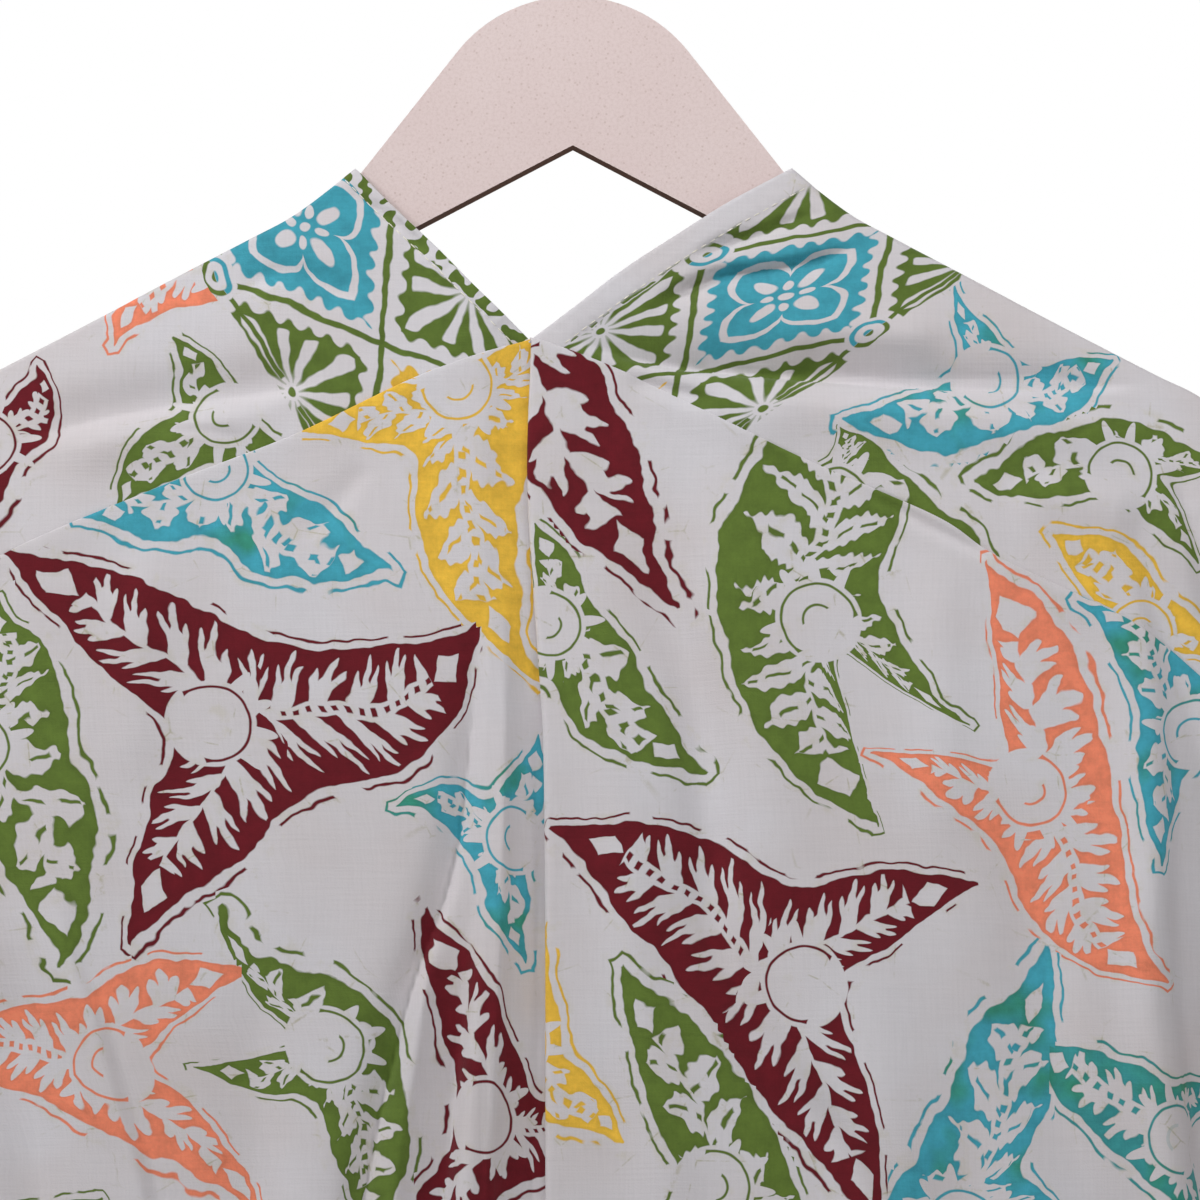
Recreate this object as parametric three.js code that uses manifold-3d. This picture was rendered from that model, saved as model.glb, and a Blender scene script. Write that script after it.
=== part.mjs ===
// A batik kaftan dress hung on a flat board hanger.
// Millimetres, +Z up. The origin is the inside top of the hook, the shown face looks along -Y
// and +X is to the right of someone who looks at it. Each cloth piece is one closed wall.

import * as THREE from 'three';
import { mergeVertices } from 'three/addons/utils/BufferGeometryUtils.js';
import Module from 'manifold-3d';

// ---- driving sizes ----

const cloth = {
  wall: 1.2, // thickness of every cloth wall
  seamGap: 0.4, // clearance between neighbouring pieces
  bend: 2.4, // radius where the cloth turns over an edge
  turnSteps: [0.7, 1.8, 2.8], // distances in from an edge at which that turn is built
  shoulderHalf: 5.9, // half the depth over both layers along the shoulder
  sideHalf: 3, // the same along the side seams
  lip: 0.8, // how far the outer edge of a panel turns inwards
  settle: 40, // distance in from an edge over which the layers part
  calm: 15, // distance in from an edge over which the folds fade out
};

const board = {
  thick: 6.5,
  apexZ: -60, // top of the arch
  archRadius: 51.5,
  flankAngle: 53, // slope of the straight flanks below the arch
  flankEndX: 74,
  armSlope: 28.5,
  armTopAt100: -144.2, // height of the arms' upper edge where x is 100
  armStartX: 92,
  cutApexZ: -115.4, // top of the inner cut-out
  tipCentreX: 209,
};

const hook = {
  wire: 3.4,
  innerRadius: 17,
  startAngle: -38, // where the bend starts, at its lower right
  endAngle: 200, // where its tip ends, at the left
  straight: 12, // length of shank that stands straight out of the board
  swing: 4, // how far the shank swings out below the bend
  sunk: 22, // length of the shank inside the board
  clearance: 0.3,
};

const body = {
  hemZ: -1085, // hem at the centre
  hemDip: 50, // how much lower the hem hangs at the side seams
  rows: 15,
  seamSteps: 14, // columns along each yoke seam
};

const neck = {
  front: { x: -14.5, z: -190 }, // point of the shown V
  back: { x: 0, z: -300 }, // point of the deeper V behind
  rise: 3.5, // how far the shown right neck edge bows upwards
};

const pleat = {
  underlay: 24, // width of the fold's return and of the layer under it
  closedGap: 0.4, // room between layers where the pleat is stitched down
  openGap: 1.6, // the same where it hangs free
  stitchedTo: -240,
  freeFrom: -310,
  sinkWidth: 18, // width over which the left panel runs down under the fold
  sinkRoom: 0.6, // clearance between the fold's return and that panel
  sinkEnds: [4, 24], // heights above the V's point over which the sinking fades out
  calmFrom: 2, // distances from the folded edge between which the folds grow
  calmTo: 12,
};

// ---- tables: each row is a section or a fold, x is measured away from the centre ----

const shoulderRows = [ // fold of the yokes, from the neck edge to the cuff
  { x: 78, z: -124.5 },
  { x: 88, z: -133 },
  { x: 100, z: -142.2 },
  { x: 114, z: -150 },
  { x: 135, z: -161.4 },
  { x: 170, z: -180.6 },
  { x: 205, z: -199.4 },
  { x: 219, z: -206.5 },
  { x: 234, z: -218 },
  { x: 248, z: -237 },
  { x: 260, z: -262 },
  { x: 269, z: -290 },
];

const sideRows = [ // outer edge: cuff down to the armpit, then the side seam
  { z: -290, x: 269 },
  { z: -392, x: 268 },
  { z: -500, x: 262 },
  { z: -590, x: 246 },
  { z: -700, x: 243 },
  { z: -850, x: 253 },
  { z: -1000, x: 268 },
  { z: -1140, x: 285 },
];
const armpitZ = -500;

const seamRows = { // yoke seams, from the centre or neck edge out to the cuff
  frontRight: [
    { x: -14.5, z: -190 },
    { x: 19, z: -203 },
    { x: 72, z: -230 },
    { x: 125, z: -254 },
    { x: 149, z: -270 },
    { x: 194, z: -292 },
    { x: 216, z: -309 },
    { x: 231, z: -325 },
    { x: 245, z: -346 },
    { x: 257, z: -370 },
    { x: 268, z: -396 },
  ],
  frontLeft: [
    { x: 14.5, z: -190 },
    { x: 53, z: -203.5 },
    { x: 97, z: -225 },
    { x: 146, z: -245 },
    { x: 198, z: -268 },
    { x: 217, z: -280 },
    { x: 233, z: -295 },
    { x: 247, z: -316 },
    { x: 259, z: -341 },
    { x: 268.5, z: -366 },
  ],
  back: [
    { x: 40.5, z: -209.3 },
    { x: 97, z: -233 },
    { x: 146, z: -256 },
    { x: 198, z: -281 },
    { x: 218, z: -293 },
    { x: 234, z: -309 },
    { x: 248, z: -330 },
    { x: 259, z: -354 },
    { x: 268.3, z: -378 },
  ],
};

const bellyRows = [ // how far each face stands out from the middle plane
  { z: -110, depth: 4 },
  { z: -190, depth: 8 },
  { z: -300, depth: 12 },
  { z: -480, depth: 18 },
  { z: -800, depth: 26 },
  { z: -1140, depth: 33 },
];

const centreRows = [ // folded edge of the pleat, in plain x
  { z: -190, x: -14.5 },
  { z: -240, x: -15.7 },
  { z: -290, x: -12.7 },
  { z: -336, x: -9.8 },
  { z: -489, x: -8.7 },
  { z: -1140, x: -6 },
];

const tuckSoftness = 3;
const tuckRows = [ // where the sleeve's cloth drops back behind the body's, and by how much
  { z: -250, x: 193, depth: 0 },
  { z: -268, x: 195, depth: 1.5 },
  { z: -318, x: 204, depth: 6 },
  { z: -408, x: 205, depth: 12 },
  { z: -482, x: 210.5, depth: 14 },
  { z: -700, x: 216, depth: 10 },
  { z: -900, x: 221, depth: 3 },
  { z: -1000, x: 222, depth: 0 },
];

const foldStrength = { fadeIn: 0.3, start: 0.45 }; // share of the drop, and of the full height

const folds = { // ridges stand out of the cloth, troughs have a negative depth
  frontRight: [
    { topX: 112, topZ: -330, hemX: 48, depth: 7, topWidth: 11, hemWidth: 24 },
    { topX: 140, topZ: -380, hemX: 98, depth: -8, topWidth: 12, hemWidth: 22 },
    { topX: 168, topZ: -400, hemX: 150, depth: 8, topWidth: 13, hemWidth: 24 },
    { topX: 190, topZ: -440, hemX: 200, depth: -7, topWidth: 11, hemWidth: 22 },
    { topX: 236, topZ: -330, hemX: 244, depth: 6, topWidth: 10, hemWidth: 20 },
    { topX: 44, topZ: -520, hemX: 24, depth: -5, topWidth: 12, hemWidth: 14 },
  ],
  frontLeft: [
    { topX: 19, topZ: -262, hemX: 38, depth: -5, topWidth: 5, hemWidth: 12 },
    { topX: 21, topZ: -262, hemX: 74, depth: 9, topWidth: 6, hemWidth: 18 },
    { topX: 24, topZ: -268, hemX: 112, depth: -8, topWidth: 8, hemWidth: 18 },
    { topX: 70, topZ: -400, hemX: 152, depth: 9, topWidth: 14, hemWidth: 22 },
    { topX: 120, topZ: -430, hemX: 194, depth: -8, topWidth: 14, hemWidth: 22 },
    { topX: 236, topZ: -320, hemX: 238, depth: 7, topWidth: 10, hemWidth: 20 },
  ],
  backRight: [
    { topX: 20, topZ: -330, hemX: 34, depth: 8, topWidth: 12, hemWidth: 22 },
    { topX: 70, topZ: -300, hemX: 82, depth: -8, topWidth: 14, hemWidth: 22 },
    { topX: 112, topZ: -340, hemX: 132, depth: 9, topWidth: 14, hemWidth: 24 },
    { topX: 160, topZ: -360, hemX: 184, depth: -8, topWidth: 14, hemWidth: 22 },
    { topX: 206, topZ: -380, hemX: 230, depth: 8, topWidth: 12, hemWidth: 20 },
  ],
  backLeft: [
    { topX: 36, topZ: -330, hemX: 22, depth: -6, topWidth: 12, hemWidth: 20 },
    { topX: 84, topZ: -310, hemX: 70, depth: 9, topWidth: 14, hemWidth: 24 },
    { topX: 128, topZ: -330, hemX: 122, depth: -8, topWidth: 14, hemWidth: 22 },
    { topX: 172, topZ: -360, hemX: 176, depth: 9, topWidth: 14, hemWidth: 24 },
    { topX: 214, topZ: -380, hemX: 226, depth: -6, topWidth: 12, hemWidth: 20 },
  ],
};

// ---- materials ----

const finish = (color, roughness, metalness) =>
  new THREE.MeshStandardMaterial({ color, roughness, metalness });
const materials = {
  cotton: finish('#e4dcd6', 0.9, 0),
  cottonYoke: finish('#d6dcc8', 0.9, 0),
  board: finish('#e0cbc6', 0.6, 0),
  wire: finish('#b9bcbf', 0.3, 1),
};

// ---- small helpers ----

const degrees = THREE.MathUtils.degToRad;
const lerp = THREE.MathUtils.lerp;
const smooth = THREE.MathUtils.smoothstep;

// A smooth curve through one column of a table, read at a value of another column.
function readTable(rows, key, column, at) {
  const down = rows[rows.length - 1][key] < rows[0][key] ? -1 : 1;
  const last = rows.length - 1;
  let i = 0;
  while (i < last - 1 && (at - rows[i + 1][key]) * down > 0) i += 1;
  const width = rows[i + 1][key] - rows[i][key];
  const t = THREE.MathUtils.clamp((at - rows[i][key]) / width, 0, 1);
  const slope = (k) => {
    const a = rows[Math.max(k - 1, 0)];
    const b = rows[Math.min(k + 1, last)];
    return ((b[column] - a[column]) / (b[key] - a[key])) * width;
  };
  const t2 = t * t;
  const t3 = t2 * t;
  return (
    (2 * t3 - 3 * t2 + 1) * rows[i][column] +
    (t3 - 2 * t2 + t) * slope(i) +
    (3 * t2 - 2 * t3) * rows[i + 1][column] +
    (t3 - t2) * slope(i + 1)
  );
}

const curveThrough = (rows) =>
  new THREE.SplineCurve(rows.map((r) => new THREE.Vector2(r.x, r.z)));

const shoulderLine = curveThrough(shoulderRows);
const shoulderPoints = shoulderLine.getPoints(40);
const sideSeamPoints = Array.from({ length: 14 }, (_, i) => {
  const z = lerp(armpitZ, sideRows[sideRows.length - 1].z, i / 13);
  return new THREE.Vector2(readTable(sideRows, 'z', 'x', z), z);
});

function distanceTo(points, x, z) {
  let best = Infinity;
  const at = new THREE.Vector2(x, z);
  const along = new THREE.Vector2();
  const off = new THREE.Vector2();
  for (let i = 0; i + 1 < points.length; i += 1) {
    along.subVectors(points[i + 1], points[i]);
    off.subVectors(at, points[i]);
    const t = THREE.MathUtils.clamp(off.dot(along) / along.lengthSq(), 0, 1);
    best = Math.min(best, off.addScaledVector(along, -t).length());
  }
  return best;
}

// ---- the drape ----

const centreX = (z) => readTable(centreRows, 'z', 'x', z);
const sideX = (z) => readTable(sideRows, 'z', 'x', z);
const hemZ = (x) => body.hemZ - body.hemDip * (x / sideRows[sideRows.length - 1].x) ** 2;

// A fold is faint at its top and full at the hem.
function foldHeight(fold, x, z) {
  const t = (fold.topZ - z) / (fold.topZ - body.hemZ);
  if (t <= 0) return 0;
  const middle = lerp(fold.topX, fold.hemX, t);
  const width = lerp(fold.topWidth, fold.hemWidth, t);
  const strength = smooth(t, 0, foldStrength.fadeIn) * lerp(foldStrength.start, 1, t);
  return fold.depth * strength * Math.exp(-(((x - middle) / width) ** 2));
}

// Distance between the two outer skins of the pleat's folded edge.
const foldDepth = (z) =>
  2 * cloth.wall + lerp(pleat.openGap, pleat.closedGap, smooth(z, pleat.freeFrom, pleat.stitchedTo));

// How far the left panel lies behind the right one, so that it passes under the folded edge.
function sinkUnderPleat(x, z) {
  const outOfFold = centreX(z) - x; // x is plain here
  const under = 1 - smooth(outOfFold, 1, pleat.sinkWidth);
  const [low, high] = pleat.sinkEnds.map((above) => neck.front.z + above);
  return (foldDepth(z) + pleat.sinkRoom) * under * (1 - smooth(z, low, high));
}

// How far one face lies from the middle plane, at a place x from the centre on one side.
function faceDepth(face, side, x, z) {
  const inward = Math.min(
    distanceTo(shoulderPoints, x, z),
    distanceTo(sideSeamPoints, x, z),
  );
  const upper = smooth(z, armpitZ - 10, shoulderRows[shoulderRows.length - 1].z);
  const half = lerp(cloth.sideHalf, cloth.shoulderHalf, upper);
  const turned = Math.max(cloth.bend - inward, 0);
  const flat = half - cloth.bend + Math.sqrt(cloth.bend ** 2 - turned ** 2);
  const parted = 1 - Math.exp(-Math.max(inward - cloth.bend, 0) / cloth.settle);
  let depth = flat + readTable(bellyRows, 'z', 'depth', z) * parted;

  const toRight = face === 'front' ? side * x > centreX(z) : side > 0;
  const own = folds[face + (toRight ? 'Right' : 'Left')];
  let relief = own.reduce((sum, fold) => sum + foldHeight(fold, Math.abs(x), z), 0);
  if (face === 'front') {
    const fromPleat = Math.abs(side * x - centreX(z));
    relief *= smooth(fromPleat, pleat.calmFrom, pleat.calmTo);
    const tuckX = readTable(tuckRows, 'z', 'x', z);
    const tuckDepth = readTable(tuckRows, 'z', 'depth', z);
    if (z < tuckRows[0].z && z > tuckRows[tuckRows.length - 1].z) {
      relief -= (tuckDepth * (1 + Math.tanh((x - tuckX) / tuckSoftness))) / 2;
    }
  }
  depth += relief * (1 - Math.exp(-((inward / cloth.calm) ** 2)));
  if (face === 'front' && side < 0) depth -= sinkUnderPleat(-x, z);
  return Math.max(depth, cloth.seamGap / 2);
}

const facePoint = (face, side, x, z) =>
  new THREE.Vector3(side * x, (face === 'front' ? -1 : 1) * faceDepth(face, side, x, z), z);

// A closed wall whose outer skin is the grid of points, columns of rows, and whose inner skin
// lies one wall inside. The grid is turned round where its middle doesn't look along facingY.
function wallFrom(columns, facingY, material, name) {
  const middle = Math.floor(columns.length / 2);
  const lookY = new THREE.Vector3()
    .subVectors(columns[middle + 1][1], columns[middle - 1][1])
    .cross(new THREE.Vector3().subVectors(columns[middle][2], columns[middle][0])).y;
  const grid = lookY * facingY > 0 ? columns : [...columns].reverse();
  const across = grid.length;
  const down = grid[0].length;
  const at = (i, j) => grid[THREE.MathUtils.clamp(i, 0, across - 1)][THREE.MathUtils.clamp(j, 0, down - 1)];
  const positions = [];
  const inner = [];
  const tangentI = new THREE.Vector3();
  const tangentJ = new THREE.Vector3();
  for (let i = 0; i < across; i += 1) {
    for (let j = 0; j < down; j += 1) {
      tangentI.subVectors(at(i + 1, j), at(i - 1, j));
      tangentJ.subVectors(at(i, j + 1), at(i, j - 1));
      const normal = new THREE.Vector3().crossVectors(tangentI, tangentJ).normalize();
      positions.push(...at(i, j));
      inner.push(...at(i, j).clone().addScaledVector(normal, -cloth.wall));
    }
  }
  const count = across * down;
  positions.push(...inner);
  const index = [];
  const quad = (a, b, c, d) => index.push(a, b, c, a, c, d);
  const id = (i, j) => i * down + j;
  for (let i = 0; i + 1 < across; i += 1) {
    for (let j = 0; j + 1 < down; j += 1) {
      quad(id(i, j), id(i + 1, j), id(i + 1, j + 1), id(i, j + 1));
      quad(count + id(i, j), count + id(i, j + 1), count + id(i + 1, j + 1), count + id(i + 1, j));
    }
    quad(id(i, 0), count + id(i, 0), count + id(i + 1, 0), id(i + 1, 0));
    quad(id(i, down - 1), id(i + 1, down - 1), count + id(i + 1, down - 1), count + id(i, down - 1));
  }
  for (let j = 0; j + 1 < down; j += 1) {
    quad(id(0, j), id(0, j + 1), count + id(0, j + 1), count + id(0, j));
    quad(id(across - 1, j), count + id(across - 1, j), count + id(across - 1, j + 1), id(across - 1, j + 1));
  }
  const geometry = new THREE.BufferGeometry();
  geometry.setAttribute('position', new THREE.Float32BufferAttribute(positions, 3));
  geometry.setIndex(index);
  const mesh = new THREE.Mesh(geometry, material);
  mesh.name = name;
  return mesh;
}

// ---- hanger ----

const armTop = (x) => board.armTopAt100 - (x - 100) * Math.tan(degrees(board.armSlope));
const armUnder = (x) => board.cutApexZ - x * Math.tan(degrees(board.armSlope));

function boardOutline() {
  const flank = degrees(board.flankAngle);
  const slope = degrees(board.armSlope);
  const archZ = board.apexZ - board.archRadius;
  const flankTop = {
    x: board.archRadius * Math.sin(flank),
    z: archZ + board.archRadius * Math.cos(flank),
  };
  const flankZ = (x) => flankTop.z - (x - flankTop.x) * Math.tan(flank);
  const cornerX =
    (flankZ(0) - armTop(0)) / (Math.tan(flank) - Math.tan(slope)); // where flank meets arm
  const tipRadius =
    ((armTop(board.tipCentreX) - armUnder(board.tipCentreX)) * Math.cos(slope)) / 2;
  const tipZ = (armTop(board.tipCentreX) + armUnder(board.tipCentreX)) / 2;
  const outline = new THREE.Shape();
  outline.absarc(0, archZ, board.archRadius, Math.PI / 2 - flank, Math.PI / 2 + flank, false);
  outline.lineTo(-board.flankEndX, flankZ(board.flankEndX));
  outline.quadraticCurveTo(-cornerX, armTop(cornerX), -board.armStartX, armTop(board.armStartX));
  outline.absarc(-board.tipCentreX, tipZ, tipRadius, Math.PI / 2 + slope, (3 * Math.PI) / 2 + slope, false);
  outline.lineTo(0, board.cutApexZ);
  outline.absarc(board.tipCentreX, tipZ, tipRadius, -Math.PI / 2 - slope, Math.PI / 2 - slope, false);
  outline.lineTo(board.armStartX, armTop(board.armStartX));
  outline.quadraticCurveTo(cornerX, armTop(cornerX), board.flankEndX, flankZ(board.flankEndX));
  outline.closePath();
  return outline;
}

function asSolid(wasm, geometry) {
  const bare = geometry.clone();
  bare.deleteAttribute('normal');
  bare.deleteAttribute('uv');
  const merged = mergeVertices(bare);
  return new wasm.Manifold(
    new wasm.Mesh({
      numProp: 3,
      vertProperties: merged.attributes.position.array,
      triVerts: new Uint32Array(merged.index.array),
    }),
  );
}

async function makeBoard() {
  const wasm = await Module();
  wasm.setup();
  const plate = new THREE.ExtrudeGeometry(boardOutline(), {
    depth: board.thick,
    bevelEnabled: false,
    curveSegments: 20,
  });
  plate.translate(0, 0, -board.thick / 2);
  plate.rotateX(Math.PI / 2);
  const boreRadius = hook.wire / 2 + hook.clearance;
  const bore = new THREE.CylinderGeometry(boreRadius, boreRadius, 2 * hook.sunk + 2, 16);
  bore.rotateX(Math.PI / 2);
  bore.translate(0, 0, board.apexZ + 1);
  const drilled = asSolid(wasm, plate).subtract(asSolid(wasm, bore)).getMesh();
  const geometry = new THREE.BufferGeometry();
  geometry.setAttribute('position', new THREE.Float32BufferAttribute(drilled.vertProperties, 3));
  geometry.setIndex(Array.from(drilled.triVerts));
  const mesh = new THREE.Mesh(geometry, materials.board);
  mesh.name = 'hanger_board';
  return mesh;
}

// The shank rises out of the board, swings to the right and bends over to the left.
function makeHook() {
  const radius = hook.innerRadius + hook.wire / 2;
  const centre = new THREE.Vector3(0, 0, -hook.innerRadius);
  const onBend = (angle) =>
    new THREE.Vector3(radius * Math.cos(angle), 0, radius * Math.sin(angle)).add(centre);
  const start = degrees(hook.startAngle);
  const turn = degrees(hook.endAngle) - start;
  const points = [
    new THREE.Vector3(0, 0, board.apexZ - hook.sunk + hook.clearance + 1),
    new THREE.Vector3(0, 0, board.apexZ),
    new THREE.Vector3(0, 0, board.apexZ + hook.straight),
    new THREE.Vector3(hook.swing, 0, centre.z - radius - hook.swing),
  ];
  const steps = 14;
  for (let i = 0; i <= steps; i += 1) points.push(onBend(start + (turn * i) / steps));
  const route = new THREE.CatmullRomCurve3(points, false, 'centripetal');
  const section = new THREE.Shape();
  section.absarc(0, 0, hook.wire / 2, 0, 2 * Math.PI, false);
  const geometry = new THREE.ExtrudeGeometry(section, {
    steps: 56,
    extrudePath: route,
    curveSegments: 5,
    bevelEnabled: false,
  });
  const mesh = new THREE.Mesh(geometry, materials.wire);
  mesh.name = 'hanger_hook';
  return mesh;
}

// ---- yokes ----

// Ways in from the shoulder fold, as shares of the width, crowded where the cloth turns over.
const yokeShares = (length) => [
  ...cloth.turnSteps.map((d) => d / length),
  ...[0.14, 0.3, 0.5, 0.75, 1],
];

// Points spaced along a seam, each with the way the seam runs there.
function spaced(rows, steps) {
  const curve = curveThrough(rows);
  return curve.getSpacedPoints(steps).map((p, i) => ({
    point: p,
    x: p.x,
    z: p.y,
    run: curve.getTangentAt(i / steps),
  }));
}

function makeYoke(side) {
  const frontRows = side > 0 ? seamRows.frontRight : seamRows.frontLeft;
  const steps = body.seamSteps;
  const fold = shoulderLine.getSpacedPoints(steps);
  const seams = { front: spaced(frontRows, steps), back: spaced(seamRows.back, steps) };
  const grid = fold.map((top, i) => {
    const walk = (face) => {
      const low = seams[face][i];
      const span = new THREE.Vector2().subVectors(top, low.point);
      const length = span.length();
      const clearance = cloth.seamGap / 2 / Math.abs(span.normalize().cross(low.run));
      const bowed = face === 'front' && side > 0 ? neck.rise * (1 - i / steps) ** 4 : 0;
      return yokeShares(length).map((share) => {
        const reach = share * (1 - clearance / length);
        const x = lerp(top.x, low.x, reach);
        const z = lerp(top.y, low.z, reach) + bowed * Math.sin(Math.PI * reach);
        return facePoint(face, side, x, z);
      });
    };
    const ridge = [-1, 0, 1].map(
      (y) => new THREE.Vector3(side * top.x, y * (cloth.shoulderHalf - cloth.bend), top.y),
    );
    return [...walk('front').reverse(), ...ridge, ...walk('back')];
  });
  return wallFrom(grid, -1, materials.cottonYoke, side > 0 ? 'yoke_right' : 'yoke_left');
}

// ---- body panels ----

// A column hangs from its top to the hem at a fixed share of the way from the centre to the side.
function hangColumn(topZ, xAt, pointAt) {
  const lowZ = hemZ(Math.abs(xAt(body.hemZ - body.hemDip / 2)));
  return Array.from({ length: body.rows }, (_, j) => {
    const z = lerp(topZ, lowZ, (j / (body.rows - 1)) ** 0.9);
    return pointAt(xAt(z), z);
  });
}

// Top points of a panel's columns out to its side edge: seam samples, then close ones at the edge.
function seamColumns(rows, side, startAt) {
  const rootX = (z) => side * startAt(z);
  const share = (x, z) => (x - rootX(z)) / (sideX(z) - rootX(z));
  const samples = spaced(rows, body.seamSteps);
  const clearance = (p) => cloth.seamGap / 2 / Math.abs(p.run.x);
  const columns = samples.slice(1, -1).map((p) => {
    const s = share(p.x, p.z);
    return { topZ: p.z - clearance(p), xAt: (z) => rootX(z) + s * (sideX(z) - rootX(z)) };
  });
  const [before, end] = samples.slice(-2);
  const slope = (before.z - end.z) / (end.x - before.x);
  const lift = cloth.seamGap * Math.hypot(1, slope);
  [...cloth.turnSteps].reverse().concat(0).forEach((d) => {
    const seamZ = (z) => end.z + slope * (end.x - sideX(z) + d);
    columns.push({ topZ: seamZ(seamZ(seamZ(end.z))) - lift, xAt: (z) => sideX(z) - d });
  });
  return columns;
}

// The last column again, turned inwards: the lip of a cuff, or the meeting edge of a side seam.
const lipColumn = (column) =>
  column.map((p) => {
    const depth = Math.max(Math.abs(p.y) - cloth.lip, cloth.seamGap / 2);
    return new THREE.Vector3(p.x, Math.sign(p.y) * depth, p.z);
  });

function makeFrontRight() {
  const rows = seamRows.frontRight;
  const layerAt = (x, z) => facePoint('front', 1, x, z);
  const seamZ = (x) => readTable(rows, 'x', 'z', Math.max(x, neck.front.x));
  const edgeGap = cloth.seamGap / 2;
  const columns = [];
  [pleat.underlay, pleat.underlay * 0.6, pleat.underlay * 0.25].forEach((into) => {
    columns.push(
      hangColumn(
        seamZ(centreX(neck.front.z) + into) - edgeGap,
        (z) => centreX(z) + into,
        (x, z) => layerAt(x, z).add(new THREE.Vector3(0, foldDepth(z), 0)),
      ),
    );
  });
  [180, 135, 90, 45, 0].forEach((angle) => {
    const turn = degrees(angle);
    columns.push(
      hangColumn(neck.front.z - 1.5, centreX, (x, z) => {
        const radius = foldDepth(z) / 2;
        const p = layerAt(x + radius, z);
        p.x -= radius * Math.sin(turn);
        p.y += radius * (1 - Math.cos(turn));
        return p;
      }),
    );
  });
  seamColumns(rows, 1, centreX).forEach(({ topZ, xAt }) => {
    columns.push(hangColumn(topZ, xAt, layerAt));
  });
  columns.push(lipColumn(columns[columns.length - 1]));
  return wallFrom(columns, -1, materials.cotton, 'front_body_right');
}

function makeFrontLeft() {
  const rows = seamRows.frontLeft;
  const layerAt = (x, z) => facePoint('front', -1, x, z);
  const edgeGap = cloth.seamGap / 2;
  const rightSeamZ = (x) => readTable(seamRows.frontRight, 'x', 'z', Math.max(x, neck.front.x));
  const columns = [];
  [pleat.underlay, pleat.underlay * 0.5, 3].forEach((into) => {
    columns.push(
      hangColumn(
        rightSeamZ(centreX(neck.front.z) + into) - 2,
        (z) => -(centreX(z) + into),
        layerAt,
      ),
    );
  });
  [1, 6, 11].forEach((out) => {
    const topX = out - neck.front.x;
    columns.push(
      hangColumn(
        readTable(rows, 'x', 'z', topX) - edgeGap,
        (z) => out - centreX(z),
        layerAt,
      ),
    );
  });
  seamColumns(rows, -1, centreX).forEach(({ topZ, xAt }) => {
    columns.push(hangColumn(topZ, xAt, layerAt));
  });
  columns.push(lipColumn(columns[columns.length - 1]));
  return wallFrom(columns, -1, materials.cotton, 'front_body_left');
}

function makeBack() {
  const rows = seamRows.back;
  const edgeGap = cloth.seamGap / 2;
  const slope = (rows[0].z - neck.back.z) / rows[0].x; // of the V's edges
  const half = (side) => {
    const layerAt = (x, z) => facePoint('back', side, x, z);
    const vee = [0, 1 / 3, 2 / 3, 1].map((part) => {
      const topX = part * rows[0].x;
      const topZ = neck.back.z + slope * topX - edgeGap;
      return hangColumn(topZ, (z) => (topX / sideX(topZ)) * sideX(z), layerAt);
    });
    const rest = seamColumns(rows, side, () => 0).map(({ topZ, xAt }) =>
      hangColumn(topZ, xAt, layerAt),
    );
    return [...vee, ...rest, lipColumn(rest[rest.length - 1])];
  };
  const columns = [...half(-1).reverse(), ...half(1).slice(1)];
  return wallFrom(columns, 1, materials.cotton, 'back_body');
}

const dress = new THREE.Group();
dress.add(await makeBoard(), makeHook());
dress.add(makeYoke(1), makeYoke(-1));
dress.add(makeFrontRight(), makeFrontLeft(), makeBack());

export default dress;
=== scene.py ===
from functools import reduce
import math
import bmesh
import bpy
import numpy as np
from mathutils import Matrix, Vector


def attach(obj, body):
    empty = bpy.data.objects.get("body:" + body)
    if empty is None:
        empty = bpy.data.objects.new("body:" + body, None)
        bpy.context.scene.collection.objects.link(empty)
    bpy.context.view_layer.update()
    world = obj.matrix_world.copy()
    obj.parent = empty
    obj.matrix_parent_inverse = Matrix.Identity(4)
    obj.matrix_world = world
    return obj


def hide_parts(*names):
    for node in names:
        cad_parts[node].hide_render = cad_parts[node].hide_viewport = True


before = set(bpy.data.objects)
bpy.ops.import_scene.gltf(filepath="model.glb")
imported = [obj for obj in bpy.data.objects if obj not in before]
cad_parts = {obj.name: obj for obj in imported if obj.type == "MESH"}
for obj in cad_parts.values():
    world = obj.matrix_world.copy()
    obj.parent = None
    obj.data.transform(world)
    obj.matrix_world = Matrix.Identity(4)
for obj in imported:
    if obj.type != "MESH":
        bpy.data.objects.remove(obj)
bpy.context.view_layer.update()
mm = 0.001
print("frame loaded")


def newObject(name, data):
    made = bpy.data.objects.new(name, data)
    bpy.context.collection.objects.link(made)
    return made


def meshFrom(bm, name):
    mesh = bpy.data.meshes.new(name)
    bm.to_mesh(mesh)
    bm.free()
    return mesh


def shadeSmooth(mesh):
    mesh.polygons.foreach_set("use_smooth", [True] * len(mesh.polygons))


def newPaint(name):
    # a material whose tree of nodes is still empty
    paint = bpy.data.materials.new(name)
    paint.use_nodes = True
    paint.node_tree.nodes.clear()
    return paint, paint.node_tree


def toLinear(hexColour):
    parts = [int(hexColour[i : i + 2], 16) / 255 for i in (1, 3, 5)]
    return [c / 12.92 if c <= 0.04045 else ((c + 0.055) / 1.055) ** 2.4 for c in parts] + [1.0]


def add(tree, kind, inputs=(), **settings):
    # adds a node, sets it up, and links or fills its inputs, given in order or by name
    made = tree.nodes.new("ShaderNode" + kind)
    for name, value in settings.items():
        setattr(made, name, value)
    pairs = inputs.items() if isinstance(inputs, dict) else enumerate(inputs)
    for socket, value in pairs:
        if isinstance(value, bpy.types.NodeSocket):
            tree.links.new(value, made.inputs[socket])
        elif value is not None:
            made.inputs[socket].default_value = value
    return made.outputs[0] if made.outputs else made


# camera, light and floor

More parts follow.
